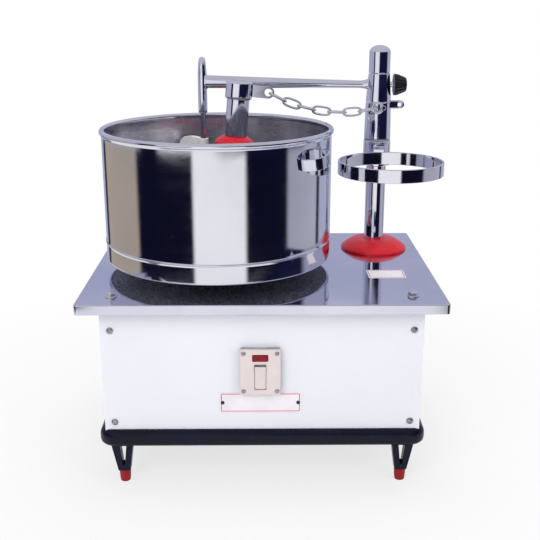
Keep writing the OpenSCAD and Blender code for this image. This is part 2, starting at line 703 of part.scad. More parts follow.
// Arm
module swing_washer() color("#e8e6e0") place() at_post()
  tube(collar_dia / 2 - 1, post_dia / 2 + run, wash_z, wash_z + wash_h);
head_top = head_z + head_h;
dome = 9;
function head_r(z) = head_top_dia / 2 + (head_dia - head_top_dia) / 2 *
  (z < head_z + 50 ? 1 - 0.25 * (z - head_z) / 50 : z < head_z + 88 ? 0.75 - 0.75 * (z - head_z - 50) / 38 : 0);
module head() rotate_extrude() polygon(concat(
  [[0, head_z], [head_dia / 2, head_z], [head_r(head_z + 49), head_z + 49],
   [head_r(head_z + 49) - 0.7, head_z + 49.5], [head_r(head_z + 50), head_z + 50.2],
   [head_r(head_z + 87), head_z + 87], [head_top_dia / 2 - 0.7, head_z + 87.6],
   [head_top_dia / 2, head_z + 88.4], [head_top_dia / 2, head_top - dome]],
  [for (i = [1 : 9]) [head_top_dia / 2 * cos(10 * i), head_top - dome + dome * sin(10 * i)]]));
module arm_bar() translate([0, py + arm_t / 2, 0]) rotate([90, 0, 0]) linear_extrude(height = arm_t)
  polygon([[px, arm_z], [rod_x, arm_z], [rod_x, arm_z + arm_h1], [px, arm_z + arm_h0]]);
module arm() color("#cfd0d8") place() difference() {
  union() {
    at_post() head();
    arm_bar();
    at_rod() rod(socket_dia / 2, arm_z - 33, arm_z + 36);
    at_rod() translate([0, 0, arm_z + 36]) sphere(d = socket_dia);
    at_stone() rod(boss_dia / 2, -boss_h / 2, boss_h / 2);
    translate([boss_x - 9, boss_y, arm_z]) cube([18, boss_out, 11]);
    translate([boss_x, chain_y - lug_t / 2, hook_z - 5]) cube([hook_x - boss_x, lug_t, 13]);
    translate([hook_x, chain_y + lug_t / 2, hook_z]) rotate([90, 0, 0]) rod(8, 0, lug_t);
    translate([px, py - 3, head_z + 40]) cube([30, 6, 11]);
    translate([px + 30, py + 3, head_z + 45.5]) rotate([90, 0, 0]) rod(5.5, 0, 6);
  }
  at_post() rod(head_bore / 2, head_z - 1, head_top - head_wall);
  at_rod() rod(rod_dia / 2 + run, arm_z - 34, arm_z + 2);
  at_stone() rod(spindle_dia / 2 + play, -boss_h, 0);
  translate([hook_x, chain_y, hook_z]) rotate([90, 0, 0]) rod(eye_hole / 2, -10, 10);
  translate([px, py, knob_z]) rotate([0, 90, 0]) rod(stud_dia / 2 + run, 0, 30);
  translate([px + 29, py, head_z + 45.5]) rotate([90, 0, 0]) rod(2.6, -10, 10);
  translate([eye_x + 8, py, eye_z]) rotate([90, 0, 0]) rod(3 + play, 0, 40);
}
module chain_eye() color("#cfd0d8") place() union() {
  translate([eye_x, chain_y + eye_t / 2, eye_z]) rotate([90, 0, 0])
    tube(eye_hole / 2 + eye_rim, eye_hole / 2, 0, eye_t);
  translate([eye_x + 8, py, eye_z]) rotate([90, 0, 0])
    rod(3, head_bore / 2 + 0.7, py - chain_y + eye_t / 2);
}
module stone_spindle() color("#cfd0d8") place() at_stone() union() {
  rod(spindle_dia / 2, -bush_1 - nut_h - 3, -play);
  rod(holder_dia / 2, -hold_1, -hold_0);
}
module spindle_nut() color("#b9bac0") place() at_stone()
  tube(nut_dia / 2, spindle_dia / 2 + play, -bush_1 - air - nut_h, -bush_1 - air);

// Stone
function upper_r(u) = stone_top_r + (stone_r - stone_top_r) * pow(sin(90 * u), 1.2);
function lower_r(u) = stone_bot_r + (stone_r - stone_bot_r) * sqrt(1 - pow(1 - u, 2));
belly = 0.42;
module roller_stone() color("#55555a") place() at_stone() difference() {
  rotate_extrude() polygon(concat(
    [[0, -stone_1]],
    [for (i = [0 : 10]) [lower_r(i / 10), -stone_1 + bot_cone + (stone_len * belly - bot_cone) * i / 10]],
    [for (i = [1 : 12]) [upper_r(1 - i / 12), -stone_1 + stone_len * (belly + (1 - belly) * i / 12)]],
    [[0, -stone_0]]));
  rod(spindle_dia / 2 + 3 + play, -bush_1 - 1, -stone_0 + 1);
  rod(well_dia / 2, -stone_1 - 1, -bush_1);
}
module stone_bush() color("#b08d4f") place() at_stone()
  tube(spindle_dia / 2 + 3, spindle_dia / 2 + run, -bush_1, -stone_0);
module stone_plug() color("#2a2a2c") place() at_stone()
  rod(well_dia / 2 - play, -stone_1 + 4, -bush_1 - nut_h - 3 - 1);
module stone_cap() color("#be1c28") place() at_stone() difference() {
  rotate_extrude() polygon(concat([[0, -stone_0], [seal_dia / 2 - 1, -stone_0]],
    [for (i = [0 : 8]) [(seal_dia / 2) * (1 - 0.42 * pow(i / 8, 1.6)), -stone_0 + 2 + (seal_h - 2) * i / 8]],
    [[0, -seal_0]]));
  rod(spindle_dia / 2 + air, -stone_0 - 1, -seal_0 + 1);
}

// Chain, knob and scraper
link_half = pitch / 2 + link_play - link_in / 2;
module link() union() {
  for (s = [-1, 1]) translate([0, s * (link_in + wire) / 2, 0]) rotate([0, 90, 0])
    rod(wire / 2, -link_half, link_half);
  for (s = [0, 1]) mirror([s, 0, 0]) translate([link_half, 0, 0]) rotate([0, 0, -90])
    rotate_extrude(angle = 180) translate([(link_in + wire) / 2, 0]) circle(d = wire, $fn = 32);
}
module chain() color("#b5b6be") place() for (i = [0 : link_n - 1])
  translate([chain_x + run_x(i) + pitch / 2 * cos(slope(i)), chain_y, chain_z + run_z(i) + pitch / 2 * sin(slope(i))])
    rotate([0, -slope(i), 0]) rotate([i % 2 == 0 ? 0 : 90, 0, 0]) link();
module at_knob() translate([px, py, knob_z]) rotate([0, 90, 0]) children();
knob_gap = 3.4;
knob_0 = head_r(knob_z - knob_dia / 2) + knob_gap;
module clamp_knob() color("#16161a") place() at_knob() difference() {
  union() {
    translate([0, 0, knob_0]) cylinder(r1 = knob_dia / 2, r2 = knob_dia / 2 - 1, h = knob_len * 0.35);
    translate([0, 0, knob_0 + knob_len * 0.35])
      cylinder(r1 = knob_dia / 2 - 1, r2 = knob_dia / 2 - 5.5, h = knob_len * 0.65);
  }
  rod(stud_dia / 2 + play, knob_0 - 1, knob_0 + knob_len + 1);
}
stud_back = 1.4;
module clamp_stud() color("#c9cad0") place() at_knob()
  rod(stud_dia / 2, head_bore / 2 + stud_back, knob_0 + knob_len + 0.8);
blade_top = arm_z - blade_drop;
rod_z = blade_top - 16;
// The blade's length: its nearer corner stays inside the rim by the gap
rim_set = 0.9;
rim_in = drum_r - rim_set - rim_r;
function reach(p, d, r) = -p * d + sqrt(pow(p * d, 2) - p * p + r * r);
function corner(s) = [rod_x - dx, py - dy] + s * blade_t / 2 * [-sin(blade_turn), cos(blade_turn)];
blade_len = min([for (s = [-1, 1]) reach(corner(s), [cos(blade_turn), sin(blade_turn)], rim_in - blade_gap)]);
module scraper_rod() color("#cfd0d8") place() at_rod() rod(rod_dia / 2, rod_z, arm_z + 1);
module scraper_blade() color("#f1efec") place() at_rod() rotate(blade_turn) difference() {
  union() {
    rod(rod_dia / 2 + 3, blade_top - 26, blade_top);
    translate([0, blade_t / 2, 0]) rotate([90, 0, 0]) linear_extrude(height = blade_t)
      polygon([[0, blade_top - 26], [0, blade_top], [blade_len * 0.45, blade_top], [blade_len * 0.75, blade_top - 3],
        [blade_len - 3, blade_top - 9], [blade_len, blade_top - 15], [blade_len, base_z + 4],
        [blade_len * 0.6, base_z + 4], [blade_len * 0.5, blade_top - 34]]);
  }
  rod(rod_dia / 2 + play / 2, rod_z - play, blade_top + 1);
}

base_tray();
legs();
feet();
chassis();
front_panel();
side_panels();
back_panel();
panel_screws();
top_plate();
plate_bolts();
plate_nuts();
bearing_bridge();
bridge_bolts();
bearing_housing();
shaft_bushes();
thrust_washer();
motor_bridge();
motor_body();
motor_bolts();
capacitor();
capacitor_clip();
v_belt();
switch_box();
switch_screws();
neon_lens();
name_plate();
name_pins();
plate_label();
cord_gland();
post();
post_nut();
post_cap();
ring_collar();
stone_ring();
drum_shell();
base_stone();
drum_grips();
drum_hub();
hub_screws();
drum_shaft();
driven_pulley();
motor_shaft();
motor_pulley();
motor_fan();
swing_washer();
arm();
chain_eye();
stone_spindle();
spindle_nut();
roller_stone();
stone_bush();
stone_plug();
stone_cap();
chain();
clamp_knob();
clamp_stud();
scraper_rod();
scraper_blade();
rocker();
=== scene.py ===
# %% [markdown]
# # A table-top wet grinder
# A white cabinet carries a polished steel drum, and a chromed post holds an arm with a granite roller in
# the drum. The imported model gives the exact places, so it is loaded first and never moved. Each later cell
# dresses one piece of it: the shapes that the light reads most are made again with softer edges, and every
# other solid keeps its shape and gets a better surface.

# %% Load the frame
import json
import math
import bmesh
import bpy
from mathutils import Matrix, Vector


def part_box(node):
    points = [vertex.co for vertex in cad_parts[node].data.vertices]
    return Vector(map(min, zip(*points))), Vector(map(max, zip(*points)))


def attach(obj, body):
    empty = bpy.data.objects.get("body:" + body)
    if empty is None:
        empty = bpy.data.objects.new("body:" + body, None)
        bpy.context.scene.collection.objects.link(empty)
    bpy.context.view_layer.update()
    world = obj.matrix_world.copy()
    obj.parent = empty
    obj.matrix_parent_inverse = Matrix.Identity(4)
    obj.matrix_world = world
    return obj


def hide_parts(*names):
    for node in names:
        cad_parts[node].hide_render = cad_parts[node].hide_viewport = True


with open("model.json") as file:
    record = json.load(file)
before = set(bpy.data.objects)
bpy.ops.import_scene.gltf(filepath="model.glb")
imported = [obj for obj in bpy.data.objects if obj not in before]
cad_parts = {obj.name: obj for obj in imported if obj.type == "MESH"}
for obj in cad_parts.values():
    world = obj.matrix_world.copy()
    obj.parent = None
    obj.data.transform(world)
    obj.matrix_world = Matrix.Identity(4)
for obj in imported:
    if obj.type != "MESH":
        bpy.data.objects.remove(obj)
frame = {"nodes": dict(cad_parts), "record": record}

MM = 0.001
scene = bpy.context.scene
solids = frame["nodes"]
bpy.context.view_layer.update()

# %% [markdown]
# ## Shared places
# Many pieces are set out from the same few lines, so these have names. They are in millimetres, as all the
# outlines below are. Node trees, lamps and the room are in metres.

# %% Shared places
BASE_X = -7.0
PLATE_TOP = 244
PANEL_FACE = -140.5
DRUM_X, DRUM_Y = -64.5, 6
POST_X, POST_Y = 152, 84
ROD_X = -87.3
CHAIN_Y = 60
SWITCH_X, SWITCH_Z = -9.5, 152.5
NAME_PLATE_Z = 108.9
BOLT_X, BOLT_Y = 181, 131.3


def at(x, y, z=0.0):
    """A place without a turn."""
    return Matrix.Translation(Vector((x, y, z)) * MM)


def turned_by(degrees, axis):
    return Matrix.Rotation(math.radians(degrees), 4, axis)


def front(x, y, z):
    """A place whose outline stands upright and faces the front."""
    return at(x, y, z) @ turned_by(90, "X")


def corners(x, y, z):
    """Four spots round the middle of the cabinet."""
    return [(BASE_X + s * x, t * y, z) for s in (-1, 1) for t in (-1, 1)]


def set_out(name, data):
    """A new object in the scene."""
    made = bpy.data.objects.new(name, data)
    scene.collection.objects.link(made)
    return made


DRUM = at(DRUM_X, DRUM_Y)
POST = at(POST_X, POST_Y)
ROD = at(ROD_X, POST_Y)
STONE = at(-37, 54, 469.1) @ turned_by(5, "Y")
KNOB = at(POST_X, POST_Y, 473) @ turned_by(90, "Y")

# %% [markdown]
# ## The camera
# The picture was taken from in front and a little above, at about a metre. A camera could be placed by eye,
# but the rim's ellipse and the plate's edges give its distance and tilt, so those numbers are used.

# %% Camera
camera = set_out("front_camera", bpy.data.cameras.new("front_camera"))
camera.data.sensor_width = 36
camera.data.lens = 58.43
camera.matrix_world = at(-6.3, -1125.1, 581.6) @ turned_by(-0.5, "Z") @ turned_by(72.93, "X")
scene.camera = camera
scene.view_settings.view_transform = "Standard"
print("camera at", [round(v, 3) for v in camera.location])

# %% [markdown]
# ## Shared surface effects
# Metal, paint and rubber all show the same three things up close: a colour that drifts a little, a gloss
# that changes where hands and cloths have been, and a fine unevenness. Each could be built again in every
# material. A node group with named inputs is built once and placed with its own values instead.

# %% Helpers for shader groups
EVEN = (1.0, 1.0, 1.0)


def linear(channel):
    """One channel from 0 to 255 as the eye reads it, made linear."""
    return channel / 255 / 12.92 if channel < 11 else ((channel / 255 + 0.055) / 1.055) ** 2.4


def paint(r, g, b):
    """A colour from 0 to 255 as the eye reads it, made linear for the shader."""
    return linear(r), linear(g), linear(b), 1.0


def new_look(name):
    """A material with nodes, and its tree."""
    made = bpy.data.materials.new(name)
    made.use_nodes = True
    return made, made.node_tree


def shader_group(name, inputs, outputs):
    group = bpy.data.node_groups.new(name, "ShaderNodeTree")
    for label, value in inputs.items():
        kind = "Float" if isinstance(value, (int, float)) else ("Color" if len(value) == 4 else "Vector")
        socket = group.interface.new_socket(label, in_out="INPUT", socket_type="NodeSocket" + kind)
        socket.default_value = value
    for label, kind in outputs.items():
        group.interface.new_socket(label, in_out="OUTPUT", socket_type="NodeSocket" + kind)
    return group, group.nodes.new("NodeGroupInput"), group.nodes.new("NodeGroupOutput")


def feed(tree, taker, links):
    """Links or sets a node's inputs by label or number. A node as a source stands for its first output."""
    for label, source in links.items():
        if isinstance(source, bpy.types.Node):
            source = source.outputs[0]
        if isinstance(source, bpy.types.NodeSocket):
            tree.links.new(source, taker.inputs[label])
        else:
            taker.inputs[label].default_value = source
    return taker


def node(tree, kind, links=None, **values):
    """Adds a node, sets its properties and feeds its inputs."""
    made = tree.nodes.new(kind)
    for key, value in values.items():
        setattr(made, key, value)
    return feed(tree, made, links or {})


def maths(tree, operation, *values):
    """A Math node on numbers, sockets or nodes."""
    return node(tree, "ShaderNodeMath", dict(enumerate(values)), operation=operation)


def mapped(tree, value, low, high, to_low=0.0, to_high=1.0):
    """A Map Range node that takes one range onto another."""
    ends = {"From Min": low, "From Max": high, "To Min": to_low, "To Max": to_high}
    return node(tree, "ShaderNodeMapRange", {"Value": value, **ends})


def mixed(tree, share, one, other):
    """A colour between two. Sockets 6, 7 and 2 are the colours of a Mix node."""
    return node(tree, "ShaderNodeMix", {0: share, 6: one, 7: other}, data_type="RGBA").outputs[2]


def own_point(tree):
    """The point in the piece's own space."""
    return node(tree, "ShaderNodeTexCoord").outputs["Object"]


def stretched(tree, given):
    """The point in the piece's own space, scaled by the group's Stretch."""
    return node(tree, "ShaderNodeMapping", {"Vector": own_point(tree), "Scale": given.outputs["Stretch"]})


# %% Colour drift
drift, d_in, d_out = shader_group(
    "colour_drift", {"Colour": paint(128, 128, 128), "Other": paint(120, 120, 120), "Scale": 8.0},
    {"Colour": "Color"})
cloud = node(drift, "ShaderNodeTexNoise",
             {"Vector": own_point(drift), "Scale": d_in.outputs["Scale"], "Detail": 5.0})
blend = mixed(drift, mapped(drift, cloud, 0.35, 0.65), d_in.outputs["Colour"], d_in.outputs["Other"])
feed(drift, d_out, {"Colour": blend})
print("group:", drift.name)

# %% Handling marks
marks, m_in, m_out = shader_group(
    "handling_marks", {"Scale": 20.0, "Low": 0.2, "High": 0.4, "Stretch": EVEN}, {"Roughness": "Float"})
smear = node(marks, "ShaderNodeTexNoise",
             {"Vector": stretched(marks, m_in), "Scale": m_in.outputs["Scale"], "Detail": 6.0,
              "Roughness": 0.62})
level = mapped(marks, smear, 0.3, 0.72, m_in.outputs["Low"], m_in.outputs["High"])
feed(marks, m_out, {"Roughness": level})
print("group:", marks.name)

# %% Fine unevenness
grain, g_in, g_out = shader_group("fine_grain", {"Scale": 300.0, "Stretch": EVEN}, {"Height": "Float"})
bumps = node(grain, "ShaderNodeTexNoise",
             {"Vector": stretched(grain, g_in), "Scale": g_in.outputs["Scale"], "Detail": 4.0})
feed(grain, g_out, {"Height": bumps})
print("group:", grain.name)

# %% [markdown]
# ## The finishes
# One short recipe serves most surfaces: a drifting colour, a gloss with marks in it and a grain for the
# bump. A painted panel, a polished sheet and a rubber foot differ only in the numbers. The even values, such
# as how metallic a surface is, are set on the shader itself.

# %% A recipe for a finish
BUMP_DEPTH = 0.0006
finish = {}


def make_finish(slot, colour, other, gloss, cloud=9.0, smear=24.0, fine=420.0, relief=0.05, stretch=EVEN,
                metal=0.0, coat=0.0, shine=0.5):
    """A material whose colour drifts between two, and whose roughness runs between the two of its gloss.
    Cloud, smear and fine are the scales of its drift, its marks and its grain."""
    made, tree = new_look(slot)
    tint = node(tree, "ShaderNodeGroup",
                {"Colour": paint(*colour), "Other": paint(*other), "Scale": cloud}, node_tree=drift)
    rough = node(tree, "ShaderNodeGroup",
                 {"Scale": smear, "Stretch": stretch, "Low": gloss[0], "High": gloss[1]}, node_tree=marks)
    height = node(tree, "ShaderNodeGroup", {"Scale": fine, "Stretch": stretch}, node_tree=grain)
    bump = node(tree, "ShaderNodeBump", {"Height": height, "Strength": relief, "Distance": BUMP_DEPTH})
    even = {"Metallic": metal, "Coat Weight": coat, "Coat Roughness": 0.08, "Specular IOR Level": shine}
    drawn = {"Base Color": tint, "Roughness": rough, "Normal": bump}
    feed(tree, tree.nodes["Principled BSDF"], {**even, **drawn})
    finish[slot] = made
    return made


# %% [markdown]
# ## Bright metals
# The drum and the top plate are polished stainless sheet, and the post, ring and arm are chromed. A mirror
# shows what stands round it, so the metal itself needs little: a pale neutral colour, a low roughness, and a
# slow wave that makes the reflections wander as they do on thin sheet. The drum's inside, the chain and the
# bolts are duller.

# %% Polished sheet and chrome
make_finish("mirror_steel", (222, 223, 233), (210, 212, 226), (0.045, 0.10), smear=14, fine=16,
            relief=0.10, metal=1.0)
make_finish("drum_steel", (226, 226, 234), (216, 216, 226), (0.05, 0.11), smear=30, fine=9,
            relief=0.16, stretch=(1, 1, 2.6), metal=1.0)
make_finish("drum_inside", (226, 225, 234), (186, 185, 198), (0.22, 0.38), cloud=26, smear=38,
            fine=60, relief=0.12, stretch=(1, 1, 5), metal=1.0)
make_finish("chrome", (228, 228, 236), (218, 219, 229), (0.04, 0.10), smear=40, fine=60, metal=1.0)
make_finish("bright_links", (236, 236, 240), (220, 221, 227), (0.26, 0.40), cloud=60, smear=70,
            relief=0.06, metal=1.0)
make_finish("zinc_steel", (190, 191, 196), (168, 168, 172), (0.24, 0.42), cloud=60, smear=90,
            fine=700, relief=0.08, metal=1.0)
make_finish("shaft_steel", (196, 197, 202), (176, 178, 184), (0.16, 0.30), smear=60, stretch=(1, 1, 14),
            relief=0.06, metal=1.0)
make_finish("pulley_alloy", (150, 152, 158), (132, 134, 140), (0.30, 0.48), smear=40, fine=500,
            relief=0.12, metal=1.0)
make_finish("cast_iron", (84, 86, 92), (62, 64, 70), (0.45, 0.65), fine=380, relief=0.35, metal=0.8)
make_finish("bronze", (188, 150, 86), (160, 122, 66), (0.25, 0.45), cloud=40, metal=1.0)
print("metals:", len(finish))

# %% [markdown]
# ## Paint, plastic and rubber
# The panels are white enamel with a faint orange peel, the tray is glossy blue-black paint, and the caps and
# feet are red. The switch is warm white moulded plastic.

# %% Paints and plastics
make_finish("white_paint", (238, 238, 243), (233, 233, 239), (0.28, 0.42), cloud=5, smear=11,
            fine=520, coat=0.15)
make_finish("black_paint", (11, 15, 38), (7, 10, 27), (0.24, 0.40), cloud=30, smear=50,
            fine=450, relief=0.06, shine=0.2)
make_finish("frame_paint", (96, 99, 107), (78, 81, 88), (0.45, 0.62), cloud=30, fine=500, relief=0.15)
make_finish("red_rubber", (160, 20, 28), (138, 14, 23), (0.45, 0.62), cloud=50, fine=700,
            relief=0.12, shine=0.35)
make_finish("red_plastic", (220, 22, 40), (202, 16, 33), (0.22, 0.36), cloud=26, smear=40,
            fine=300, relief=0.04, coat=0.1, shine=0.35)
make_finish("switch_plastic", (228, 215, 212), (222, 207, 204), (0.34, 0.48), cloud=30, smear=60,
            fine=900, relief=0.06, shine=0.4)
make_finish("neon_red", (150, 16, 26), (112, 9, 17), (0.18, 0.30), cloud=90, fine=500, relief=0.10,
            stretch=(5, 1, 0.2), shine=0.3)
make_finish("plate_white", (243, 239, 241), (236, 231, 234), (0.30, 0.44), cloud=40, fine=800, relief=0.03)
make_finish("pin_black", (28, 28, 31), (16, 16, 18), (0.35, 0.5), cloud=90, fine=900)
make_finish("knob_black", (9, 10, 20), (15, 16, 27), (0.24, 0.38), cloud=60, fine=600, relief=0.10, shine=0.3)
make_finish("black_plastic", (30, 31, 34), (40, 41, 45), (0.4, 0.55), cloud=40, fine=600, relief=0.12)
make_finish("black_rubber", (24, 24, 26), (36, 36, 38), (0.6, 0.8), cloud=50, fine=700, relief=0.2)
make_finish("nylon", (243, 241, 238), (232, 230, 225), (0.38, 0.55), cloud=34, smear=70,
            stretch=(1, 1, 3), fine=260, relief=0.08)
make_finish("worn_nylon", (150, 150, 158), (128, 128, 136), (0.4, 0.6), cloud=60, fine=500, relief=0.1)
print("finishes:", len(finish))

# %% [markdown]
# ## Granite
# The roller and the drum's floor are dark granite: black and grey crystals of a millimetre or two, with a few
# pale flecks. A noise alone looks like cloth, so Voronoi cells give the crystals, and a ramp gives each cell
# its tone, with the flecks at its pale end. The drum's floor is sawn, so it is rougher, and its tones are
# much
# paler: painted light, which stands in for the light on its shaded underside where the plate mirrors it.

# %% Granite
CRYSTALS_PER_METRE = 420.0


def make_granite(slot, shades, gloss):
    tree = make_finish(slot, (70, 70, 74), (52, 52, 56), gloss, fine=240, relief=0.3).node_tree
    shader = tree.nodes["Principled BSDF"]
    crystals = node(tree, "ShaderNodeTexVoronoi", {"Vector": own_point(tree), "Scale": CRYSTALS_PER_METRE})
    tone = node(tree, "ShaderNodeValToRGB", {0: crystals.outputs["Color"]})
    stops = tone.color_ramp.elements
    stops[0].color = paint(*[shades[0]] * 3)
    stops[1].color = paint(*[shades[-1]] * 3)
    for spot, shade in zip((0.25, 0.45, 0.62, 0.85), shades[1:-1]):
        stops.new(spot).color = paint(shade, shade, shade + 3)
    tree.nodes.remove(shader.inputs["Base Color"].links[0].from_node)
    feed(tree, shader, {"Base Color": tone})
    print(slot, "stops:", len(stops))


make_granite("granite", (24, 34, 74, 104, 142, 190), (0.42, 0.62))
# Painted light: the drum floor's paler tones stand in for light on its shaded underside.
make_granite("granite_painted_lighter", (118, 142, 178, 203, 222, 244), (0.6, 0.8))

# %% [markdown]
# ## Dress the solids
# Every solid of the frame gets the finish of its own slot, also the drive that the panels hide, because the
# part is opened in other scenes. Only the material slots are touched, never the meshes.

# %% Finishes on the solids
# The drum's floor takes the granite with painted lighter tones; the swing washer takes worn nylon.
own_look = {"base_stone": "granite_painted_lighter", "swing_washer": "worn_nylon"}
for entry in frame["record"]["subparts"]:
    solid = solids[entry["node"]]
    solid.data.materials.clear()
    solid.data.materials.append(finish[own_look.get(entry["node"], entry["material_slot"])])
bare = [n for n, o in solids.items() if o.data.materials[0] not in finish.values()]
print("solids without a finish:", bare)

# %% [markdown]
# ## Tools for the pieces
# A few small helpers are used all the way down: one runs a tree of Geometry Nodes on a mesh and keeps the
# result as a plain mesh, one closes seams and turns the faces outward, and one hands a finished piece to the
# body it moves with.

# %% Mesh helpers
def node_tree(name, inputs):
    """A Geometry Nodes tree with one mesh in, named inputs, a finish, and one mesh out."""
    tree = bpy.data.node_groups.new(name, "GeometryNodeTree")
    tree.interface.new_socket("Mesh", in_out="INPUT", socket_type="NodeSocketGeometry")
    for label, (kind, value) in {**inputs, "Finish": ("Material", None)}.items():
        socket = tree.interface.new_socket(label, in_out="INPUT", socket_type="NodeSocket" + kind)
        if value is not None:
            socket.default_value = value
    tree.interface.new_socket("Mesh", in_out="OUTPUT", socket_type="NodeSocketGeometry")
    return tree, tree.nodes.new("NodeGroupInput"), tree.nodes.new("NodeGroupOutput")


def close_tree(tree, given, result, shape):
    """Ends a tree: the shape is made real and gets its finish."""
    real = node(tree, "GeometryNodeRealizeInstances", {"Geometry": shape})
    dressed = node(tree, "GeometryNodeSetMaterial", {"Geometry": real, "Material": given.outputs["Finish"]})
    feed(tree, result, {"Mesh": dressed})
    print("tree:", tree.name, len(tree.nodes), "nodes")


def final_mesh(maker):
    """The mesh of an object as its modifiers or its curve leave it."""
    return bpy.data.meshes.new_from_object(maker.evaluated_get(bpy.context.evaluated_depsgraph_get()))


def plain_mesh(points, links=(), faces=()):
    """A mesh from points in millimetres."""
    made = bpy.data.meshes.new("plain")
    made.from_pydata([Vector(p) * MM for p in points], links, faces)
    return made


def grow(mesh, tree, **inputs):
    """Runs the tree on the mesh and returns a plain mesh."""
    maker = set_out("maker", mesh)
    step = maker.modifiers.new("tree", "NODES")
    step.node_group = tree
    for item in tree.interface.items_tree:
        if item.item_type == "SOCKET" and item.in_out == "INPUT" and item.name in inputs:
            step[item.identifier] = inputs[item.name]
    made = final_mesh(maker)
    bpy.data.objects.remove(maker)
    return made


def settle(mesh, sharp=34):
    """Closes seams, turns the faces outward, and shades smooth but for the sharp edges."""
    bm = bmesh.new()
    bm.from_mesh(mesh)
    bmesh.ops.remove_doubles(bm, verts=bm.verts, dist=2e-6)
    bmesh.ops.dissolve_degenerate(bm, edges=bm.edges, dist=1e-7)
    bmesh.ops.recalc_face_normals(bm, faces=bm.faces)
    bm.to_mesh(mesh)
    bm.free()
    mesh.shade_smooth()
    mesh.set_sharp_from_angle(angle=math.radians(sharp))
    return mesh


def piece(name, mesh, body, slot, *stands_for, look=None):
    """Links a mesh as a finished piece that rides on a body and stands for some solids. Its normals are
    weighted by area first, so that a flat face stays flat in the light right up to its rounded edge."""
    made = set_out(name, mesh)
    even = made.modifiers.new("even", "WEIGHTED_NORMAL")
    even.keep_sharp = True
    made.data = final_mesh(made)
    made.modifiers.remove(even)
    made.data.materials.clear()
    made.data.materials.append(finish[look or slot])
    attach(made, body)
    if stands_for:
        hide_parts(*stands_for)
    print(name, "rides on", body, "with", len(made.data.polygons), "faces")
    return made


def cut_away(mesh, tool):
    """A closed mesh less another closed mesh."""
    body = set_out("body", mesh)
    cutter = set_out("cutter", tool)
    cut = body.modifiers.new("cut", "BOOLEAN")
    cut.operation = "DIFFERENCE"
    cut.solver = "EXACT"
    cut.use_self = True
    cut.object = cutter
    made = final_mesh(body)
    for used in (body, cutter):
        bpy.data.objects.remove(used)
    return settle(made)


def joined(*meshes):
    """Several meshes as one."""
    bm = bmesh.new()
    for mesh in meshes:
        bm.from_mesh(mesh)
    made = bpy.data.meshes.new("joined")
    bm.to_mesh(made)
    bm.free()
    return made


# %% [markdown]
# ## A tree for turned forms
# The drum, post, caps, feet and the roller are all turned: a profile swept round an axis. The Spin tool could
# make each, but a tree states the rule once. It lays a grid with one row for each point of the profile, reads
# that point's radius and height by its row, and wraps the columns round the axis.

# %% Turned form
form, t_in, t_out = node_tree("turned_form", {"Steps": ("Int", 96)})
count = node(form, "GeometryNodeAttributeDomainSize", {"Geometry": t_in.outputs["Mesh"]}, component="MESH")
rows = count.outputs["Point Count"]
columns = maths(form, "ADD", t_in.outputs["Steps"], 1.0)
sheet = node(form, "GeometryNodeMeshGrid",
             {"Size X": 1.0, "Size Y": 1.0, "Vertices X": rows, "Vertices Y": columns})
spot = node(form, "GeometryNodeInputPosition")
split = node(form, "ShaderNodeSeparateXYZ", {0: spot})
last = maths(form, "SUBTRACT", rows, 1.0)
across = maths(form, "ADD", split.outputs[0], 0.5)
row = maths(form, "ROUND", maths(form, "MULTIPLY", across, last))
read = node(form, "GeometryNodeSampleIndex",
            {"Geometry": t_in.outputs["Mesh"], "Value": spot, "Index": row}, data_type="FLOAT_VECTOR")
point = node(form, "ShaderNodeSeparateXYZ", {0: read})
lap = maths(form, "MULTIPLY", split.outputs[1], 2 * math.pi)
out_x = maths(form, "MULTIPLY", point.outputs[0], maths(form, "COSINE", lap))
out_y = maths(form, "MULTIPLY", point.outputs[0], maths(form, "SINE", lap))
wrapped = node(form, "ShaderNodeCombineXYZ", {0: out_x, 1: out_y, 2: point.outputs[2]})
moved = node(form, "GeometryNodeSetPosition", {"Geometry": sheet, "Position": wrapped})
closed = node(form, "GeometryNodeMergeByDistance", {"Geometry": moved, "Distance": 2e-6})
close_tree(form, t_in, t_out, closed)


def turned(profile, slot, place=Matrix(), steps=96):
    """A turned mesh from (radius, height) pairs, set in its place."""
    line = bpy.data.meshes.new("profile")
    links = [(i, i + 1) for i in range(len(profile) - 1)]
    line.from_pydata([(r * MM, 0, z * MM) for r, z in profile], links, [])
    made = grow(line, form, Steps=steps, Finish=finish[slot])
    made.transform(place)
    return settle(made)


def drill(radius, low, high, place):
    """A plain round bar to cut a hole with."""
    return turned([(0, low), (radius, low), (radius, high), (0, high)], "zinc_steel", place, 64)


def bow(x, y, r, start, end, n=8):
    """Points on an arc, in degrees."""
    turns = [math.radians(start + (end - start) * i / n) for i in range(n + 1)]
    return [(x + r * math.cos(t), y + r * math.sin(t)) for t in turns]


def laps(n):
    """The angles of even steps round a circle."""
    return [2 * math.pi * i / n for i in range(n)]


def circle(x, y, r, n):
    """Points on a full circle."""
    return [(x + r * math.cos(a), y + r * math.sin(a)) for a in laps(n)]


def dome(r, z, high, angles):
    """The end of a profile that rounds off to a point on the axis."""
    turns = [math.radians(a) for a in angles]
    return [(r * math.cos(t), z + high * math.sin(t)) for t in turns] + [(0, z + high)]


# %% [markdown]
# ## The drum
# The drum is thin polished sheet, rolled round a wire at the rim and swaged with a bead near the foot. Its
# profile goes up the outside, over the rolled rim and down the inside, and the turned form closes it. The
# inside is scoured by the batter and the blade, so its faces get a duller steel.

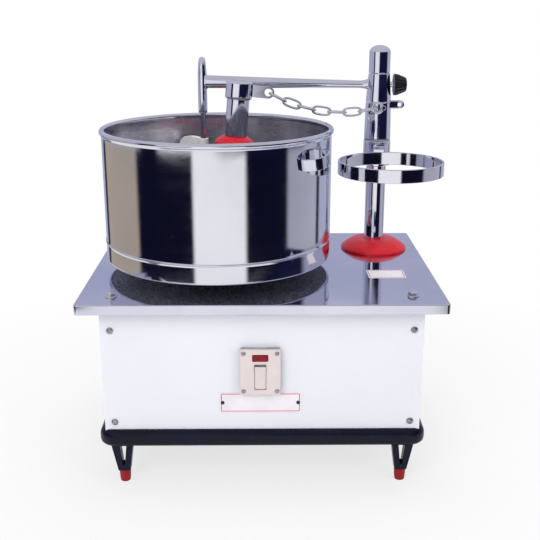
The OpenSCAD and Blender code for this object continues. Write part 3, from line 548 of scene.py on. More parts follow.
# %% Drum wall
OUTSIDE, INSIDE, FLANGE = 147.3, 146.1, 144.3
RIM_FOOT = 419.6
drum_wall = [(FLANGE, 259.5), (145.2, 259.5)] + bow(145.3, 261.5, 2.0, -90, 0, 5)
drum_wall += [(OUTSIDE, z) for z in (262.3, 281.0, 281.8)] + bow(146.7, 284.5, 1.6, -62, 62, 8)
drum_wall += [(OUTSIDE, z) for z in (287.2, 288.0, 340, 400, 418.8, RIM_FOOT)]
drum_wall += bow(146.4, 424.2, 3.6, -58, 238, 26)
drum_wall += [(INSIDE, z) for z in (RIM_FOOT, 340, 262.0)]
drum_wall += [(145.4, 260.7), (FLANGE, 260.7), (FLANGE, 259.5)]
drum = piece("drum_wall", turned(drum_wall, "drum_steel", DRUM, 192), "drum", "mirror_steel", "drum_shell",
             look="drum_steel")
drum.data.materials.append(finish["drum_inside"])
for face in drum.data.polygons:
    out = face.center - DRUM.translation
    out.z = 0
    if out.length < (INSIDE + 0.3) * MM and face.center.z < RIM_FOOT * MM and face.normal.dot(out) < 0:
        face.material_index = 1
print("inner faces:", sum(f.material_index for f in drum.data.polygons))

# %% [markdown]
# ## A tree for bent straps
# The carrying handles and the parking ring are flat bar bent on edge. A strap follows a path, so a tree turns
# the path into a curve, keeps its side upright and sweeps a rounded rectangle along it.

# %% Bent strap
bent_strap, s_in, s_out = node_tree("bent_strap", {"Thickness": ("Float", 0.003), "Height": ("Float", 0.015)})
path = node(bent_strap, "GeometryNodeMeshToCurve", {"Mesh": s_in.outputs["Mesh"]})
upright = node(bent_strap, "GeometryNodeSetCurveNormal", {"Curve": path}, mode="Z_UP")
flat_bar = node(bent_strap, "GeometryNodeCurvePrimitiveQuadrilateral",
                {"Width": s_in.outputs["Thickness"], "Height": s_in.outputs["Height"]})
eased = node(bent_strap, "GeometryNodeFilletCurve",
             {"Curve": flat_bar, "Radius": 0.0007, "Count": 3}, mode="POLY")
swept = node(bent_strap, "GeometryNodeCurveToMesh",
             {"Curve": upright, "Profile Curve": eased, "Fill Caps": True})
close_tree(bent_strap, s_in, s_out, swept)


def strap(points, thickness, height, slot, place=Matrix(), ring=False):
    """A flat bar on edge along a path, which a ring closes."""
    links = [(i, i + 1) for i in range(len(points) - 1)] + ([(len(points) - 1, 0)] if ring else [])
    line = plain_mesh(points, links)
    made = grow(line, bent_strap, Thickness=thickness * MM, Height=height * MM, Finish=finish[slot])
    made.transform(place)
    return settle(made)


def block(lo, hi, edge, turns=3):
    """A block between two corners with its edges rounded."""
    bm = bmesh.new()
    bmesh.ops.create_cube(bm, size=1)
    for v in bm.verts:
        v.co = Vector([(lo[i] if v.co[i] < 0 else hi[i]) * MM for i in range(3)])
    bmesh.ops.bevel(bm, geom=bm.edges[:], offset=edge * MM, segments=turns, profile=0.5, affect="EDGES")
    made = bpy.data.meshes.new("block")
    bm.to_mesh(made)
    bm.free()
    return settle(made)


# %% Handles
grip_path = [(x, y, 0) for x, y in bow(0, 0, 20.3, -90, 90, 32)]
grip_place = at(OUTSIDE, 0, 399.8) @ turned_by(12, "X")
grips = [strap(grip_path, 2.4, 15, "mirror_steel", DRUM @ turned_by(a, "Z") @ grip_place) for a in (-37, 143)]
piece("drum_handles", joined(*grips), "drum", "mirror_steel", "drum_grips")

# %% [markdown]
# ## Post, collar and cap
# The post is a chromed tube. A collar clamps the parking ring to it, and a red bell covers its foot.

# %% Post, collar and red cap
tube = [(10.5, 209.5), (13.1, 209.5), (13.5, 209.9), (13.5, 244), (19, 244), (19.5, 244.5), (19.5, 250.5),
        (19, 251), (13.5, 251), (13.5, 300), (13.5, 400), (13.5, 504.4), (13.1, 504.8), (10.5, 504.8),
        (10.5, 209.5)]
piece("post_tube", turned(tube, "chrome", POST), "base", "chrome", "post")
collar = [(13.6, 364), (17.7, 364), (18.5, 364.8), (18.5, 397.2), (17.7, 398), (13.6, 398), (13.6, 364)]
piece("clamp_collar", turned(collar, "chrome", POST), "base", "chrome", "ring_collar")
bell = [(19.7, 244), (45.5, 244)] + bow(45.5, 244.5, 0.5, -60, 0, 4) + [(45.97, 245.6), (45.8, 246.6)]
bell += [(18.5 + 27.2 * (1 - i / 20) ** 0.5, 247 + 13 * (i / 20)) for i in range(1, 20)]
bell += bow(17.4, 259.2, 0.8, 20, 90, 4) + [(13.7, 260), (13.7, 251.2), (19.7, 251.2), (19.7, 244)]
piece("post_bell", turned(bell, "red_plastic", POST), "base", "red_plastic", "post_cap")

# %% Parking ring
hoop = [(x, y, 376.5) for x, y in circle(159, -6, 66.5, 120)]
ring = joined(strap(hoop, 3, 17, "chrome", ring=True), block((144, 60.2, 369), (160, 68.5, 393), 1.2))
piece("parking_ring", ring, "base", "chrome", "stone_ring")

# %% [markdown]
# ## The arm
# The head slides over the post, and a tapered bar reaches from it to the scraper's socket, with a boss for
# the roller in between. The head is turned with its real bore. The bar, boss, web and socket are one casting,
# whose inner corners are filled: they are joined by a voxel remesh and then smoothed, which rounds them, and
# the socket is drilled last.

# %% Head of the arm
HEAD_LOW, NECK, BORE = 400.8, 14.3, 13.55


def on_head(up):
    """A point on the head at a height above its foot: a slow taper to half way, then a steeper one."""
    part = 1 - 0.25 * up / 50 if up < 50 else 0.75 - 0.75 * (up - 50) / 38
    return NECK + 3.7 * part, HEAD_LOW + up


head = [(BORE, HEAD_LOW), (17.4, HEAD_LOW), (18, 401.4)] + [on_head(up) for up in (12, 25, 38, 48.6)]
head += [(on_head(49)[0] - 0.7, 450.3)] + [on_head(up) for up in (50.4, 60, 72, 86.8)]
head += [(13.6, 488.4), (NECK, 489.4), (NECK, 516.2)] + dome(NECK, 516.2, 9, range(8, 90, 8))
head += [(0, 505.2), (BORE, 505.2), (BORE, HEAD_LOW)]
head_mesh = cut_away(turned(head, "chrome", POST), drill(4.1, 8, 30, KNOB))

# %% Cast bar, boss, web and socket
def box_outline(w, h, r, n=5):
    """A rounded rectangle round the origin, counter-clockwise."""
    spots = []
    for cx, cy, a in ((1, 1, 0), (-1, 1, 90), (-1, -1, 180), (1, -1, 270)):
        spots += bow(cx * (w / 2 - r), cy * (h / 2 - r), r, a, a + 90, n)
    return spots


def loft(loops, capped=True):
    """Skins a stack of loops that have the same number of points, and caps its two ends."""
    n = len(loops[0])
    faces = [(k * n + i, k * n + (i + 1) % n, (k + 1) * n + (i + 1) % n, (k + 1) * n + i)
             for k in range(len(loops) - 1) for i in range(n)]
    if capped:
        faces += [tuple(k * n + i for i in range(n)) for k in (0, len(loops) - 1)]
    return settle(plain_mesh([p for loop in loops for p in loop], faces=faces))


BAR_LOW, FLARE_FROM = 468.5, 125
bar_loops = []
for x in (137.9, 136, 134, 131.5, 128.5, FLARE_FROM, 100, 70, 40, 10, -20, -50, -70, -82.9):
    flare = max(0, (x - FLARE_FROM) / 12.9) ** 2
    tall = 9 + 8.5 * (POST_X - x) / (POST_X - ROD_X)
    section = box_outline(13 + 5 * flare, tall + 6 * flare, min(6.2, tall / 2 - 0.2))
    bar_loops.append([(x, POST_Y + y, BAR_LOW + tall / 2 + z) for y, z in section])
boss = turned([(0, -11.5), (16.8, -11.5), (18, -10.2), (18, 10.2), (16.8, 11.5), (0, 11.5)], "chrome", STONE)
web = block((-46, 56, BAR_LOW), (-28, POST_Y, 479.5), 2.0)
socket = [(0, 435.5), (5.6, 435.5), (6.3, 436.4), (6.3, 470), (6.1, 488), (5.3, 500), (4.8, 505)]
socket += dome(4.8, 505, 5.2, range(12, 90, 13))
lump = set_out("lump", joined(loft(bar_loops), boss, web, turned(socket, "chrome", ROD, 48)))
weld = lump.modifiers.new("weld", "REMESH")
weld.mode = "VOXEL"
weld.voxel_size = 0.0009
ease = lump.modifiers.new("ease", "SMOOTH")
ease.factor = 0.5
ease.iterations = 10
casting = final_mesh(lump)
bpy.data.objects.remove(lump)
casting = settle(cut_away(settle(casting, 60), drill(3.95, 430, 470.5, ROD)), 60)
print("casting faces:", len(casting.polygons))

# %% [markdown]
# ## Plates cut from sheet
# The chain's lug, the eye lug, the legs, the blade and the switch's front are flat with holes in them. A
# filled curve takes an outline and its holes at once and rounds the edges, so it is made flat, turned into a
# mesh, and only then set in its place.

# %% Cut plates
def cut_plate(outlines, thickness, edge, place=Matrix(), turns=2):
    """A flat plate from closed outlines. Its thickness is up from the outline."""
    flat = bpy.data.curves.new("outline", "CURVE")
    flat.dimensions = "2D"
    flat.fill_mode = "BOTH"
    flat.extrude = (thickness / 2 - edge) * MM
    flat.bevel_depth = edge * MM
    flat.bevel_resolution = turns
    flat.offset = -edge * MM
    for outline in outlines:
        line = flat.splines.new("POLY")
        line.points.add(len(outline) - 1)
        for spot, (x, y) in zip(line.points, outline):
            spot.co = (x * MM, y * MM, 0, 1)
        line.use_cyclic_u = True
    drawn = set_out("outline", flat)
    made = final_mesh(drawn)
    bpy.data.objects.remove(drawn)
    made.transform(place @ Matrix.Translation((0, 0, thickness / 2 * MM)))
    return settle(made)


hook = bow(1.75, 465.0, 8, -100, 100, 20) + [(-24, 475.5), (-24, 459.5)]
lug = cut_plate([hook, circle(1.75, 465.0, 5, 24)], 2.8, 0.5, front(0, 61.4, 0))
eye_outline = bow(182, 446.3, 5.5, -90, 90, 14) + [(165.9, 451.8), (165.9, 440.8)]
eye_lug = cut_plate([eye_outline, circle(181, 446.3, 2.6, 24)], 6, 1.4, front(0, 87, 0), 4)
piece("arm_casting", joined(head_mesh, casting, lug, eye_lug), "arm", "chrome", "arm")

# %% [markdown]
# ## The roller
# The roller hangs from the boss on a holder tube that leans a little. Its red cap keeps water out of the
# bush, and the stone below is pear-shaped, so that it rolls on the drum's granite floor.

# %% Holder, cap and stone
STONE_TOP, STONE_LOW = -71.9, -177.27
bush_end = STONE_TOP - 76
holder = [(0, bush_end - 11), (7, bush_end - 11), (7, -60.5), (14.4, -60.5), (15, -59.9), (15, -12.1),
          (14.4, -11.5), (7, -11.5), (7, -0.2), (0, -0.2)]
piece("stone_holder", turned(holder, "chrome", STONE), "arm", "chrome", "stone_spindle")
cap = [(7.4, STONE_TOP), (26.3, STONE_TOP)] + bow(26.6, -70.9, 0.9, -80, 10, 4)
cap += [(27.5 * (1 - 0.42 * (i / 12) ** 1.6), -69.9 + 9.0 * (i / 12)) for i in range(1, 13)]
cap += [(7.4, -60.9), (7.4, STONE_TOP)]
piece("stone_hat", turned(cap, "red_plastic", STONE), "stone", "red_plastic", "stone_cap")
long = STONE_TOP - STONE_LOW
foot = 30 * math.tan(math.radians(6))
well_foot = (14, STONE_LOW + 14 / 30 * foot)
pear = [well_foot]
for u in [i / 16 for i in range(17)]:
    pear.append((30 + 26 * math.sqrt(1 - (1 - u) ** 2), STONE_LOW + foot + (long * 0.42 - foot) * u))
for u in [i / 24 for i in range(1, 25)]:
    pear.append((24 + 32 * math.sin(math.pi / 2 * (1 - u)) ** 1.2, STONE_LOW + long * (0.42 + 0.58 * u)))
pear += [(10.1, STONE_TOP), (10.1, bush_end), (14, bush_end), well_foot]
piece("granite_roller", turned(pear, "granite", STONE, 128), "stone", "granite", "roller_stone")

# %% [markdown]
# ## The chain
# Seven welded links hang between the lug and an eye on the head, each turned a quarter from the last. One
# link is modelled, and a tree sets it on a point for each link, with the turn stored on the points.

# %% Chain of links
def link_mesh(half, radius, wire, fullness=0.7, n=44, m=12):
    """One welded link: a wire swept round an oval. A fullness of 1 gives an ellipse, and less is squarer."""
    line = [((half + radius) * math.copysign(abs(math.cos(t)) ** fullness, math.cos(t)),
             radius * math.copysign(abs(math.sin(t)) ** fullness, math.sin(t))) for t in laps(n)]
    loops = []
    for i, (x, y) in enumerate(line):
        along = Vector(line[(i + 1) % n]) - Vector(line[i - 1])
        out = Vector((along.y, -along.x)).normalized() * wire / 2
        loops.append([(x + out.x * math.cos(b), y + out.y * math.cos(b), wire / 2 * math.sin(b))
                      for b in laps(m)])
    return loft(loops + [loops[0]], capped=False)


linked, l_in, l_out = node_tree("chain_links", {"Link": ("Object", None)})
one = node(linked, "GeometryNodeObjectInfo", {"Object": l_in.outputs["Link"]})
link_turn = node(linked, "GeometryNodeInputNamedAttribute", {"Name": "link_turn"}, data_type="FLOAT_VECTOR")
hung = node(linked, "GeometryNodeInstanceOnPoints",
            {"Points": l_in.outputs["Mesh"], "Instance": one.outputs["Geometry"], "Rotation": link_turn})
close_tree(linked, l_in, l_out, hung)

LINKS, PITCH = 7, 20.6
spots = []
turns = []
here = Vector((5.165, CHAIN_Y, 463.33))
for i in range(LINKS):
    slope = math.radians(-26 + 6 * i)
    step = Vector((math.cos(slope), 0, math.sin(slope))) * PITCH
    spots.append(here + step / 2)
    turns += [math.radians(90) if i % 2 else 0.0, -slope, 0.0]
    here = here + step
points = plain_mesh(spots)
points.attributes.new("link_turn", "FLOAT_VECTOR", "POINT").data.foreach_set("vector", turns)
template = set_out("one_link", link_mesh(6.9, 5.1, 3))
chain = grow(points, linked, Link=template, Finish=finish["chrome"])
bpy.data.objects.remove(template)
piece("hanging_chain", settle(chain, 60), "chain", "chrome", "chain", look="bright_links")

# %% Eye for the chain
eye_lo, eye_hi = [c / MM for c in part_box("chain_eye")]
eye_x = eye_lo.x + 8.4
eye_z = (eye_lo.z + eye_hi.z) / 2
hoop_eye = link_mesh(0, 6.6, 3.2, 1.0)
hoop_eye.transform(front(eye_x, CHAIN_Y, eye_z))
shank = turned([(0, 14.9), (2.9, 14.9), (2.9, 25.0), (2.3, 25.6), (0, 25.6)], "chrome",
               front(eye_x + 8, POST_Y, eye_z), 40)
piece("chain_eye_bolt", joined(hoop_eye, shank), "arm", "chrome", "chain_eye")

# %% [markdown]
# ## Knob, rod and blade
# A black knob with shallow flutes clamps the arm, and a white nylon blade on a rod keeps the batter off the
# drum's wall.

# %% Clamp knob
FLUTES, FLUTE_DEPTH, KNOB_STEPS = 14, 0.9, 120
KNOB_FOOT = 19.93
stud = (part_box("clamp_stud")[1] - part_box("clamp_stud")[0])[1] / 2 / MM
grip = [(stud + 0.15, 0, 0), (13.9, 0, 0), (14.6, 0.8, 0.3), (14.3, 3, 1), (13.7, 5.95, 1), (12.4, 9, 1),
        (11.1, 12.2, 0.8), (9.9, 15.1, 0.4), (8.9, 16.5, 0.1), (7.8, 17, 0), (stud + 0.15, 17, 0)]
knob_loops = []
for r, up, share in grip:
    loop = []
    for a in laps(KNOB_STEPS):
        dip = share * FLUTE_DEPTH * (0.5 - 0.5 * math.cos(FLUTES * a)) ** 2
        loop.append(((r - dip) * math.cos(a), (r - dip) * math.sin(a), KNOB_FOOT + up))
    knob_loops.append(loop)
knob = loft(knob_loops + [knob_loops[0]], capped=False)
knob.transform(KNOB)
piece("arm_knob", settle(knob, 50), "knob", "knob_black", "clamp_knob")

# %% Scraper rod and blade
rod = [(0, 384.8), (3.4, 384.8), (3.9, 385.3), (3.9, 469.0), (3.4, 469.5), (0, 469.5)]
piece("blade_rod", turned(rod, "chrome", ROD, 48), "scraper", "chrome", "scraper_rod")
top, low, reach = 400.8, 295.9, 61.8
sleeve_low = top - 26
outline = [(2, sleeve_low), (2, top), (reach * 0.45, top), (reach * 0.62, top - 1.2),
           (reach * 0.78, top - 3.4), (reach - 7, top - 7), (reach - 2.6, top - 10), (reach, top - 15),
           (reach, low + 2), (reach - 2, low), (reach * 0.6 + 1, low), (reach * 0.6 - 1, low + 3),
           (reach * 0.5 + 2, top - 42), (reach * 0.5, top - 36), (reach * 0.44, top - 31),
           (reach * 0.34, top - 27.5)]
blade = cut_plate([outline], 7, 1.1, ROD @ turned_by(125.4, "Z") @ front(0, 3.5, 0))
sleeve = [(4.0, sleeve_low), (6.3, sleeve_low), (6.9, top - 25.4), (6.9, top - 0.6), (6.3, top), (4.0, top),
          (4.0, sleeve_low)]
piece("nylon_blade", joined(blade, turned(sleeve, "nylon", ROD, 48)), "scraper", "nylon", "scraper_blade")

# %% [markdown]
# ## Top plate and base tray
# The top is polished sheet whose edge is turned down with a small fold radius, and the cabinet stands in a
# glossy tray with a full round edge. Both are stacks of rounded outlines, skinned one to the next.

# %% Top plate
def stack(w, d, corner, levels):
    """Loops of a rounded outline, drawn in by each level's inset, at each level's height."""
    loops = []
    for inset, z in levels:
        outline = box_outline(w - 2 * inset, d - 2 * inset, max(corner - inset, 0.3), 6)
        loops.append([(BASE_X + x, y, z) for x, y in outline])
    return loops


FOLD = 1.2
sheet_levels = [(6, 242.5), (1.5, 242.5), (1.5, 232.4), (1.1, 232), (0.4, 232), (0, 232.4), (0, 236)]
sheet_levels += bow(FOLD, PLATE_TOP - FOLD, FOLD, 180, 90, 6) + [(5, PLATE_TOP)]
holes = [drill(23.1, 238, 248, DRUM), drill(13.6, 238, 248, POST)]
holes += [drill(3.1, 238, 248, at(*spot)) for spot in corners(BOLT_X, BOLT_Y, 0)]
top_mesh = cut_away(loft(stack(440, 331, 4, sheet_levels)), joined(*holes))
piece("polished_top", top_mesh, "base", "mirror_steel", "top_plate")

# %% Base tray
tray_levels = [(12, 52), (6, 52), (2.6, 52.9), (0.8, 54.9), (0, 57.8), (0, 64.5), (0.6, 67.4), (2.2, 70.2),
               (4.6, 72.1), (7.0, 72.9), (8.3, 73), (8.45, 72.6), (8.45, 55)]
piece("round_edged_tray", loft(stack(407, 298, 20, tray_levels)), "base", "black_paint", "base_tray")

# %% Slotted legs
LEG_X, LEG_DEPTH = 174, 14
leg_outline = [(-15, 36), (12.3, 36), (7.5, 0), (-7.5, 0)]
leg_gap = [(-4.4, 34), (3.6, 34), (0.8, 8), (-1.6, 8)]
legs = []
for side in (-1, 1):
    turned_over = [[(-side * x, z) for x, z in line] for line in (leg_outline, leg_gap)]
    for y in (-142.5 + LEG_DEPTH, 142.5):
        legs.append(cut_plate(turned_over, LEG_DEPTH, 0.9, front(BASE_X + side * LEG_X, y, 16)))
piece("slotted_legs", joined(*legs), "base", "black_paint", "legs")

# %% [markdown]
# ## Screws, bolts, pins and feet
# The same small parts sit at the corners of everything. Each head is modelled once, and a tree sets it on
# points, faces it the right way and gives each a turn of its own from a fixed seed, as hands leave them.

# %% A tree that sets fittings on points
fitted, f_in, f_out = node_tree("fittings", {
    "Fitting": ("Object", None), "Facing": ("Vector", None), "Spin": ("Float", 0.0), "Seed": ("Int", 7)})
one = node(fitted, "GeometryNodeObjectInfo", {"Object": f_in.outputs["Fitting"]})
set_on = node(fitted, "GeometryNodeInstanceOnPoints",
              {"Points": f_in.outputs["Mesh"], "Instance": one.outputs["Geometry"],
               "Rotation": f_in.outputs["Facing"]})
chance = node(fitted, "FunctionNodeRandomValue", {3: f_in.outputs["Spin"], 8: f_in.outputs["Seed"]},
              data_type="FLOAT")
spin = node(fitted, "ShaderNodeCombineXYZ", {2: chance.outputs[1]})
spun = node(fitted, "GeometryNodeRotateInstances",
            {"Instances": set_on, "Rotation": spin, "Local Space": True})
close_tree(fitted, f_in, f_out, spun)

FACING_FRONT = (math.radians(90), 0.0, 0.0)
FACING_UP = (0.0, 0.0, 0.0)
ANY_TURN = 6.28


def fit(template_mesh, spots, slot, facing=FACING_UP, spin=ANY_TURN, seed=7):
    """One fitting on each spot."""
    points = plain_mesh(spots)
    template = set_out("fitting", template_mesh)
    made = grow(points, fitted, Fitting=template, Facing=facing, Spin=spin, Seed=seed, Finish=finish[slot])
    bpy.data.objects.remove(template)
    return settle(made)


def cross_head(r, tall, deep):
    """A pan head with a cross driven into it."""
    pan = [(0, 0), (r, 0), (r, tall * 0.25), (r * 0.93, tall * 0.55), (r * 0.75, tall * 0.85),
           (r * 0.5, tall), (0, tall)]
    wide, thin = r * 0.55, r * 0.12
    arms = [block((-x, -y, tall - deep), (x, y, tall + 1), 0.02, 1) for x, y in ((wide, thin), (thin, wide))]
    return cut_away(turned(pan, "zinc_steel", steps=40), joined(*arms))


# %% Screws and pins
panel_spots = [(BASE_X + s * 183, PANEL_FACE, z) for s in (-1, 1) for z in (83, 203.5)]
panel_screws = fit(cross_head(4.3, 2.4, 1.4), panel_spots, "zinc_steel", FACING_FRONT)
piece("panel_screw_heads", panel_screws, "base", "zinc_steel", "panel_screws")
switch_spots = [(SWITCH_X + s * 20.3, -150, z) for s in (-1, 1) for z in (128, 177)]
switch_screws = fit(cross_head(2.8, 1.3, 0.8), switch_spots, "zinc_steel", FACING_FRONT, seed=3)
piece("switch_screw_heads", switch_screws, "base", "zinc_steel", "switch_screws")
rivet = turned([(0, 0), (2.4, 0), (2.3, 0.5), (1.8, 0.95), (1.0, 1.2), (0, 1.2)], "pin_black", steps=28)
rivet_spots = [(SWITCH_X + s * 46.5, PANEL_FACE - 1.0, NAME_PLATE_Z) for s in (-1, 1)]
rivets = fit(rivet, rivet_spots, "pin_black", FACING_FRONT)
piece("name_plate_rivets", rivets, "base", "pin_black", "name_pins")

# %% Plate bolts and rubber feet
washer = turned([(0, 0), (7.2, 0), (7.4, 0.3), (7.4, 0.9), (7.1, 1.2), (0, 1.2)], "mirror_steel", steps=40)
bolt_end = turned([(0, 4.4), (4.6, 4.4), (4.5, 4.8), (3.4, 5.5), (0, 5.5)], "mirror_steel", steps=32)
hex_head = joined(washer, cut_plate([circle(0, 0, 6.2, 6)], 4.5, 0.35), bolt_end)
bolts = fit(hex_head, corners(BOLT_X, BOLT_Y, PLATE_TOP), "mirror_steel", seed=11)
piece("hex_bolts", bolts, "base", "mirror_steel", "plate_bolts", look="bright_links")
boot = [(0, 0), (5.2, 0)] + bow(5.3, 1.0, 1.0, -90, 0, 4) + [(6.7, 5), (7.1, 11), (7.5, 15.2)]
boot += bow(6.9, 15.4, 0.6, 10, 90, 3) + [(3.95, 16), (3.95, 5.8), (0, 5.8)]
boots = fit(turned(boot, "red_rubber", steps=48), corners(LEG_X, 135.5, 0), "red_rubber", spin=0.0)
piece("rubber_boots", boots, "base", "red_rubber", "feet")

# %% Vent hoods on the back
HOOD = 2.4
hood_side = [(0, 0), (0, HOOD)] + bow(0, 0, HOOD, 60, 0, 2)
hood = loft([[(x, y, z) for y, z in hood_side] for x in (-40, -39, 39, 40)])
hood_spots = [(-97, 140.5, 119 + 12 * i) for i in range(6)]
piece("vent_hoods", fit(hood, hood_spots, "white_paint", spin=0.0), "base", "white_paint")

# %% [markdown]
# ## Switch, lamp and plates
# The switch is a steel box with a moulded cover, a tall rocker and a small red lamp, and a thin plate with a
# plain red border sits below it. They are flat, so their fronts are cut plates with rounded edges.

# %% Switch
ROCKER_UP, LENS_UP = -6.5, 18.5


def raised(outline, up):
    return [(x, z + up) for x, z in outline]


cover_outlines = [box_outline(49, 59, 1.6), raised(box_outline(14.4, 33.4, 1.0), ROCKER_UP),
                  raised(box_outline(19.2, 8.7, 1.0), LENS_UP)]
cover = cut_plate(cover_outlines, 3.2, 0.7, front(SWITCH_X, -146.8, SWITCH_Z), 3)
piece("switch_cover", cover, "base", "switch_plastic", "switch_box")
back_outlines = [box_outline(48.4, 58.4, 1.6), raised(box_outline(15, 34, 1.0), ROCKER_UP)]
back_box = cut_plate(back_outlines, 6.3, 0.3, front(SWITCH_X, PANEL_FACE, SWITCH_Z))
piece("switch_back_box", back_box, "base", "zinc_steel", "switch_box")
lens = cut_plate([box_outline(19, 8.5, 0.9)], 3.7, 0.8, front(SWITCH_X, -147.0, SWITCH_Z + LENS_UP), 4)
piece("lamp_lens", lens, "base", "neon_red", "neon_lens")
KEY_WIDTH = 13.6
key_side = [(-3, -6.8), (0, -13), (4.9, -15.5), (5.55, -15.0), (4.7, -6), (4.5, 0), (4.7, 6), (5.55, 15.0),
            (4.9, 15.5), (0, 13), (-3, 6.8)]
across_key = Matrix(((0, 0, 1, -KEY_WIDTH / 2 * MM), (-1, 0, 0, 0), (0, 1, 0, 0), (0, 0, 0, 1)))
key_place = at(SWITCH_X, -145.25, SWITCH_Z + ROCKER_UP) @ turned_by(8, "X") @ across_key
piece("switch_key", cut_plate([key_side], KEY_WIDTH, 0.7, key_place, 3), "rocker", "switch_plastic", "rocker")

# %% Bare plates with a border
def border(w, h, inset, place, line=0.9):
    """A thin red line round a plate, drawn in from its edge."""
    outer = box_outline(w - 2 * inset, h - 2 * inset, 1.2)
    inner = box_outline(w - 2 * inset - 2 * line, h - 2 * inset - 2 * line, 0.8)
    return cut_plate([outer, inner], 0.12, 0.03, place, 1)


name_plate = cut_plate([box_outline(100, 27, 1.5)], 1.0, 0.3, front(SWITCH_X, PANEL_FACE, NAME_PLATE_Z))
piece("bare_name_plate", name_plate, "base", "plate_white", "name_plate")
name_border = border(100, 27, 1.6, front(SWITCH_X, PANEL_FACE - 0.95, NAME_PLATE_Z))
piece("name_plate_border", name_border, "base", "red_plastic")
top_label = cut_plate([box_outline(48, 34, 1.5)], 0.4, 0.1, at(153, -45, PLATE_TOP))
piece("bare_top_label", top_label, "base", "plate_white", "plate_label")
piece("top_label_border", border(48, 34, 1.4, at(153, -45, PLATE_TOP + 0.36)), "base", "red_plastic")

# %% [markdown]
# ## Floor, light and what the metal sees
# The machine stands on a plain white floor under soft lamps. Polished metal is mostly the picture of the
# room round it, and this room has a bright window in front, dark furniture to each side of it and a warm
# wall at the left. A round screen that only mirrors see carries bands by angle: one set low down, which the
# drum and the ring mirror, another above it for the arm, and a plain pale tone on top. It lights nothing.

# %% Floor and sky
def most(tree, *sockets):
    """The largest of several ray tests."""
    found = sockets[0]
    for test in sockets[1:]:
        found = maths(tree, "MAXIMUM", found, test)
    return found


def stage_mesh(name, verts, faces, look):
    """A mesh of the room, which isn't part of the machine."""
    mesh = bpy.data.meshes.new(name)
    mesh.from_pydata(verts, [], faces)
    mesh.materials.append(look)
    made = set_out(name, mesh)
    return made


NEAR_GLOW = 0.72
floor_look, tree = new_look("floor_white")
shader = feed(tree, tree.nodes["Principled BSDF"], {"Base Color": (0.86, 0.86, 0.87, 1), "Roughness": 0.9})
glow = node(tree, "ShaderNodeEmission", {"Color": (1, 1, 1, 1), "Strength": 1.0})
rays = node(tree, "ShaderNodeLightPath").outputs
seen = most(tree, rays["Is Camera Ray"], rays["Is Glossy Ray"], rays["Is Transmission Ray"])
away = node(tree, "ShaderNodeVectorMath", {0: own_point(tree)}, operation="LENGTH")
far = mapped(tree, away.outputs["Value"], 0.3, 0.75, NEAR_GLOW, 1.0)
share = maths(tree, "MULTIPLY", seen, far)
mix = node(tree, "ShaderNodeMixShader", {0: share, 1: shader, 2: glow})
feed(tree, tree.nodes["Material Output"], {"Surface": mix})
stage_mesh("floor", [(-6, -6, 0), (6, -6, 0), (6, 6, 0), (-6, 6, 0)], [(0, 1, 2, 3)], floor_look)

world = bpy.data.worlds.new("pale_room")
scene.world = world
world.use_nodes = True
sky = world.node_tree
rays = node(sky, "ShaderNodeLightPath").outputs
seen = most(sky, rays["Is Camera Ray"], rays["Is Transmission Ray"])
tone = mixed(sky, seen, (0.60, 0.60, 0.63, 1), (1, 1, 1, 1))
feed(sky, sky.nodes["Background"], {"Color": tone})
print("floor and sky set")

# %% Lamps
def lamp(name, x, y, z, size, power):
    """A round lamp in metres and watts that faces the machine, and that mirrors don't see."""
    light = bpy.data.lights.new(name, "AREA")
    light.shape = "DISK"
    light.size = size
    light.energy = power
    made = set_out(name, light)
    made.location = (x, y, z)
    made.rotation_euler = (Vector((0, 0, 0.25)) - made.location).to_track_quat("-Z", "Y").to_euler()
    made.visible_glossy = False


lamp("window_lamp", -1.0, -1.9, 1.4, 1.6, 19.5)
lamp("side_lamp", 1.7, -1.4, 1.1, 1.4, 9.5)
lamp("top_lamp", 0.1, 0.5, 2.3, 1.8, 16)
print("lamps:", len(bpy.data.lights))

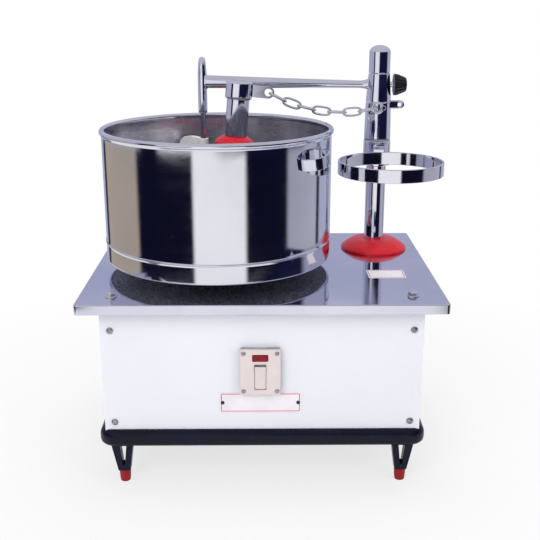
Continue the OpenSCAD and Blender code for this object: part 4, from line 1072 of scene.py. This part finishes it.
# %% Reflected bands
PALE, NAVY, WHITE = (176, 180, 208), (14, 14, 34), (255, 255, 255)
LOW_BANDS = [
    (-180, PALE), (-141, PALE), (-138, (34, 34, 52)), (-133, (34, 34, 52)), (-130, (184, 172, 156)),
    (-78, (178, 168, 154)), (-74, (16, 16, 38)), (-21, NAVY), (-18, WHITE), (26, WHITE), (29, NAVY),
    (67, (18, 18, 40)), (71, (172, 173, 186)), (109, (186, 187, 198)), (111, (44, 44, 60)),
    (114, (44, 44, 60)), (117, (182, 185, 208)), (180, PALE)]
HIGH_BANDS = [
    (-180, PALE), (-73, (184, 186, 206)), (-68, (24, 25, 48)), (-54, (24, 25, 48)), (-49, (250, 250, 254)),
    (-2, (246, 247, 253)), (8, (20, 23, 54)), (86, (22, 25, 56)), (94, (184, 186, 202)), (180, PALE)]
screen_look, tree = new_look("reflected_bands")
tree.nodes.remove(tree.nodes["Principled BSDF"])
centre = node(tree, "ShaderNodeVectorMath", {0: own_point(tree), 1: DRUM.translation}, operation="SUBTRACT")
split = node(tree, "ShaderNodeSeparateXYZ", {0: centre})
toward = maths(tree, "MULTIPLY", split.outputs[1], -1.0)
angle = maths(tree, "ARCTAN2", split.outputs[0], toward)
share = mapped(tree, angle, -math.pi, math.pi)
ramps = []
for bands in (LOW_BANDS, HIGH_BANDS):
    ramp = node(tree, "ShaderNodeValToRGB", {0: share})
    stops = ramp.color_ramp.elements
    stops[0].color = paint(*bands[0][1])
    stops[1].color = paint(*bands[-1][1])
    for a, colour in bands[1:-1]:
        stops.new((a + 180) / 360).color = paint(*colour)
    ramps.append(ramp)
colour = ramps[0]
for start, end, upper in ((0.285, 0.30, ramps[1]), (0.56, 0.64, paint(198, 200, 215))):
    colour = mixed(tree, mapped(tree, split.outputs[2], start, end), colour, upper)
glow = node(tree, "ShaderNodeEmission", {"Color": colour, "Strength": 1.0})
feed(tree, tree.nodes["Material Output"], {"Surface": glow})

SIDES, SCREEN_RADIUS, SCREEN_TOP = 96, 0.9, 1.5
around = circle(DRUM_X * MM, DRUM_Y * MM, SCREEN_RADIUS, SIDES)
screen_points = [(x, y, z) for z in (0.001, SCREEN_TOP) for x, y in around]
screen_faces = [(i, (i + 1) % SIDES, SIDES + (i + 1) % SIDES, SIDES + i) for i in range(SIDES)]
screen = stage_mesh("mirror_screen", screen_points, screen_faces, screen_look)
screen.visible_camera = False
screen.visible_diffuse = False
screen.visible_shadow = False
screen.visible_transmission = False
screen.visible_volume_scatter = False
print("bands:", len(LOW_BANDS), "below and", len(HIGH_BANDS), "above")
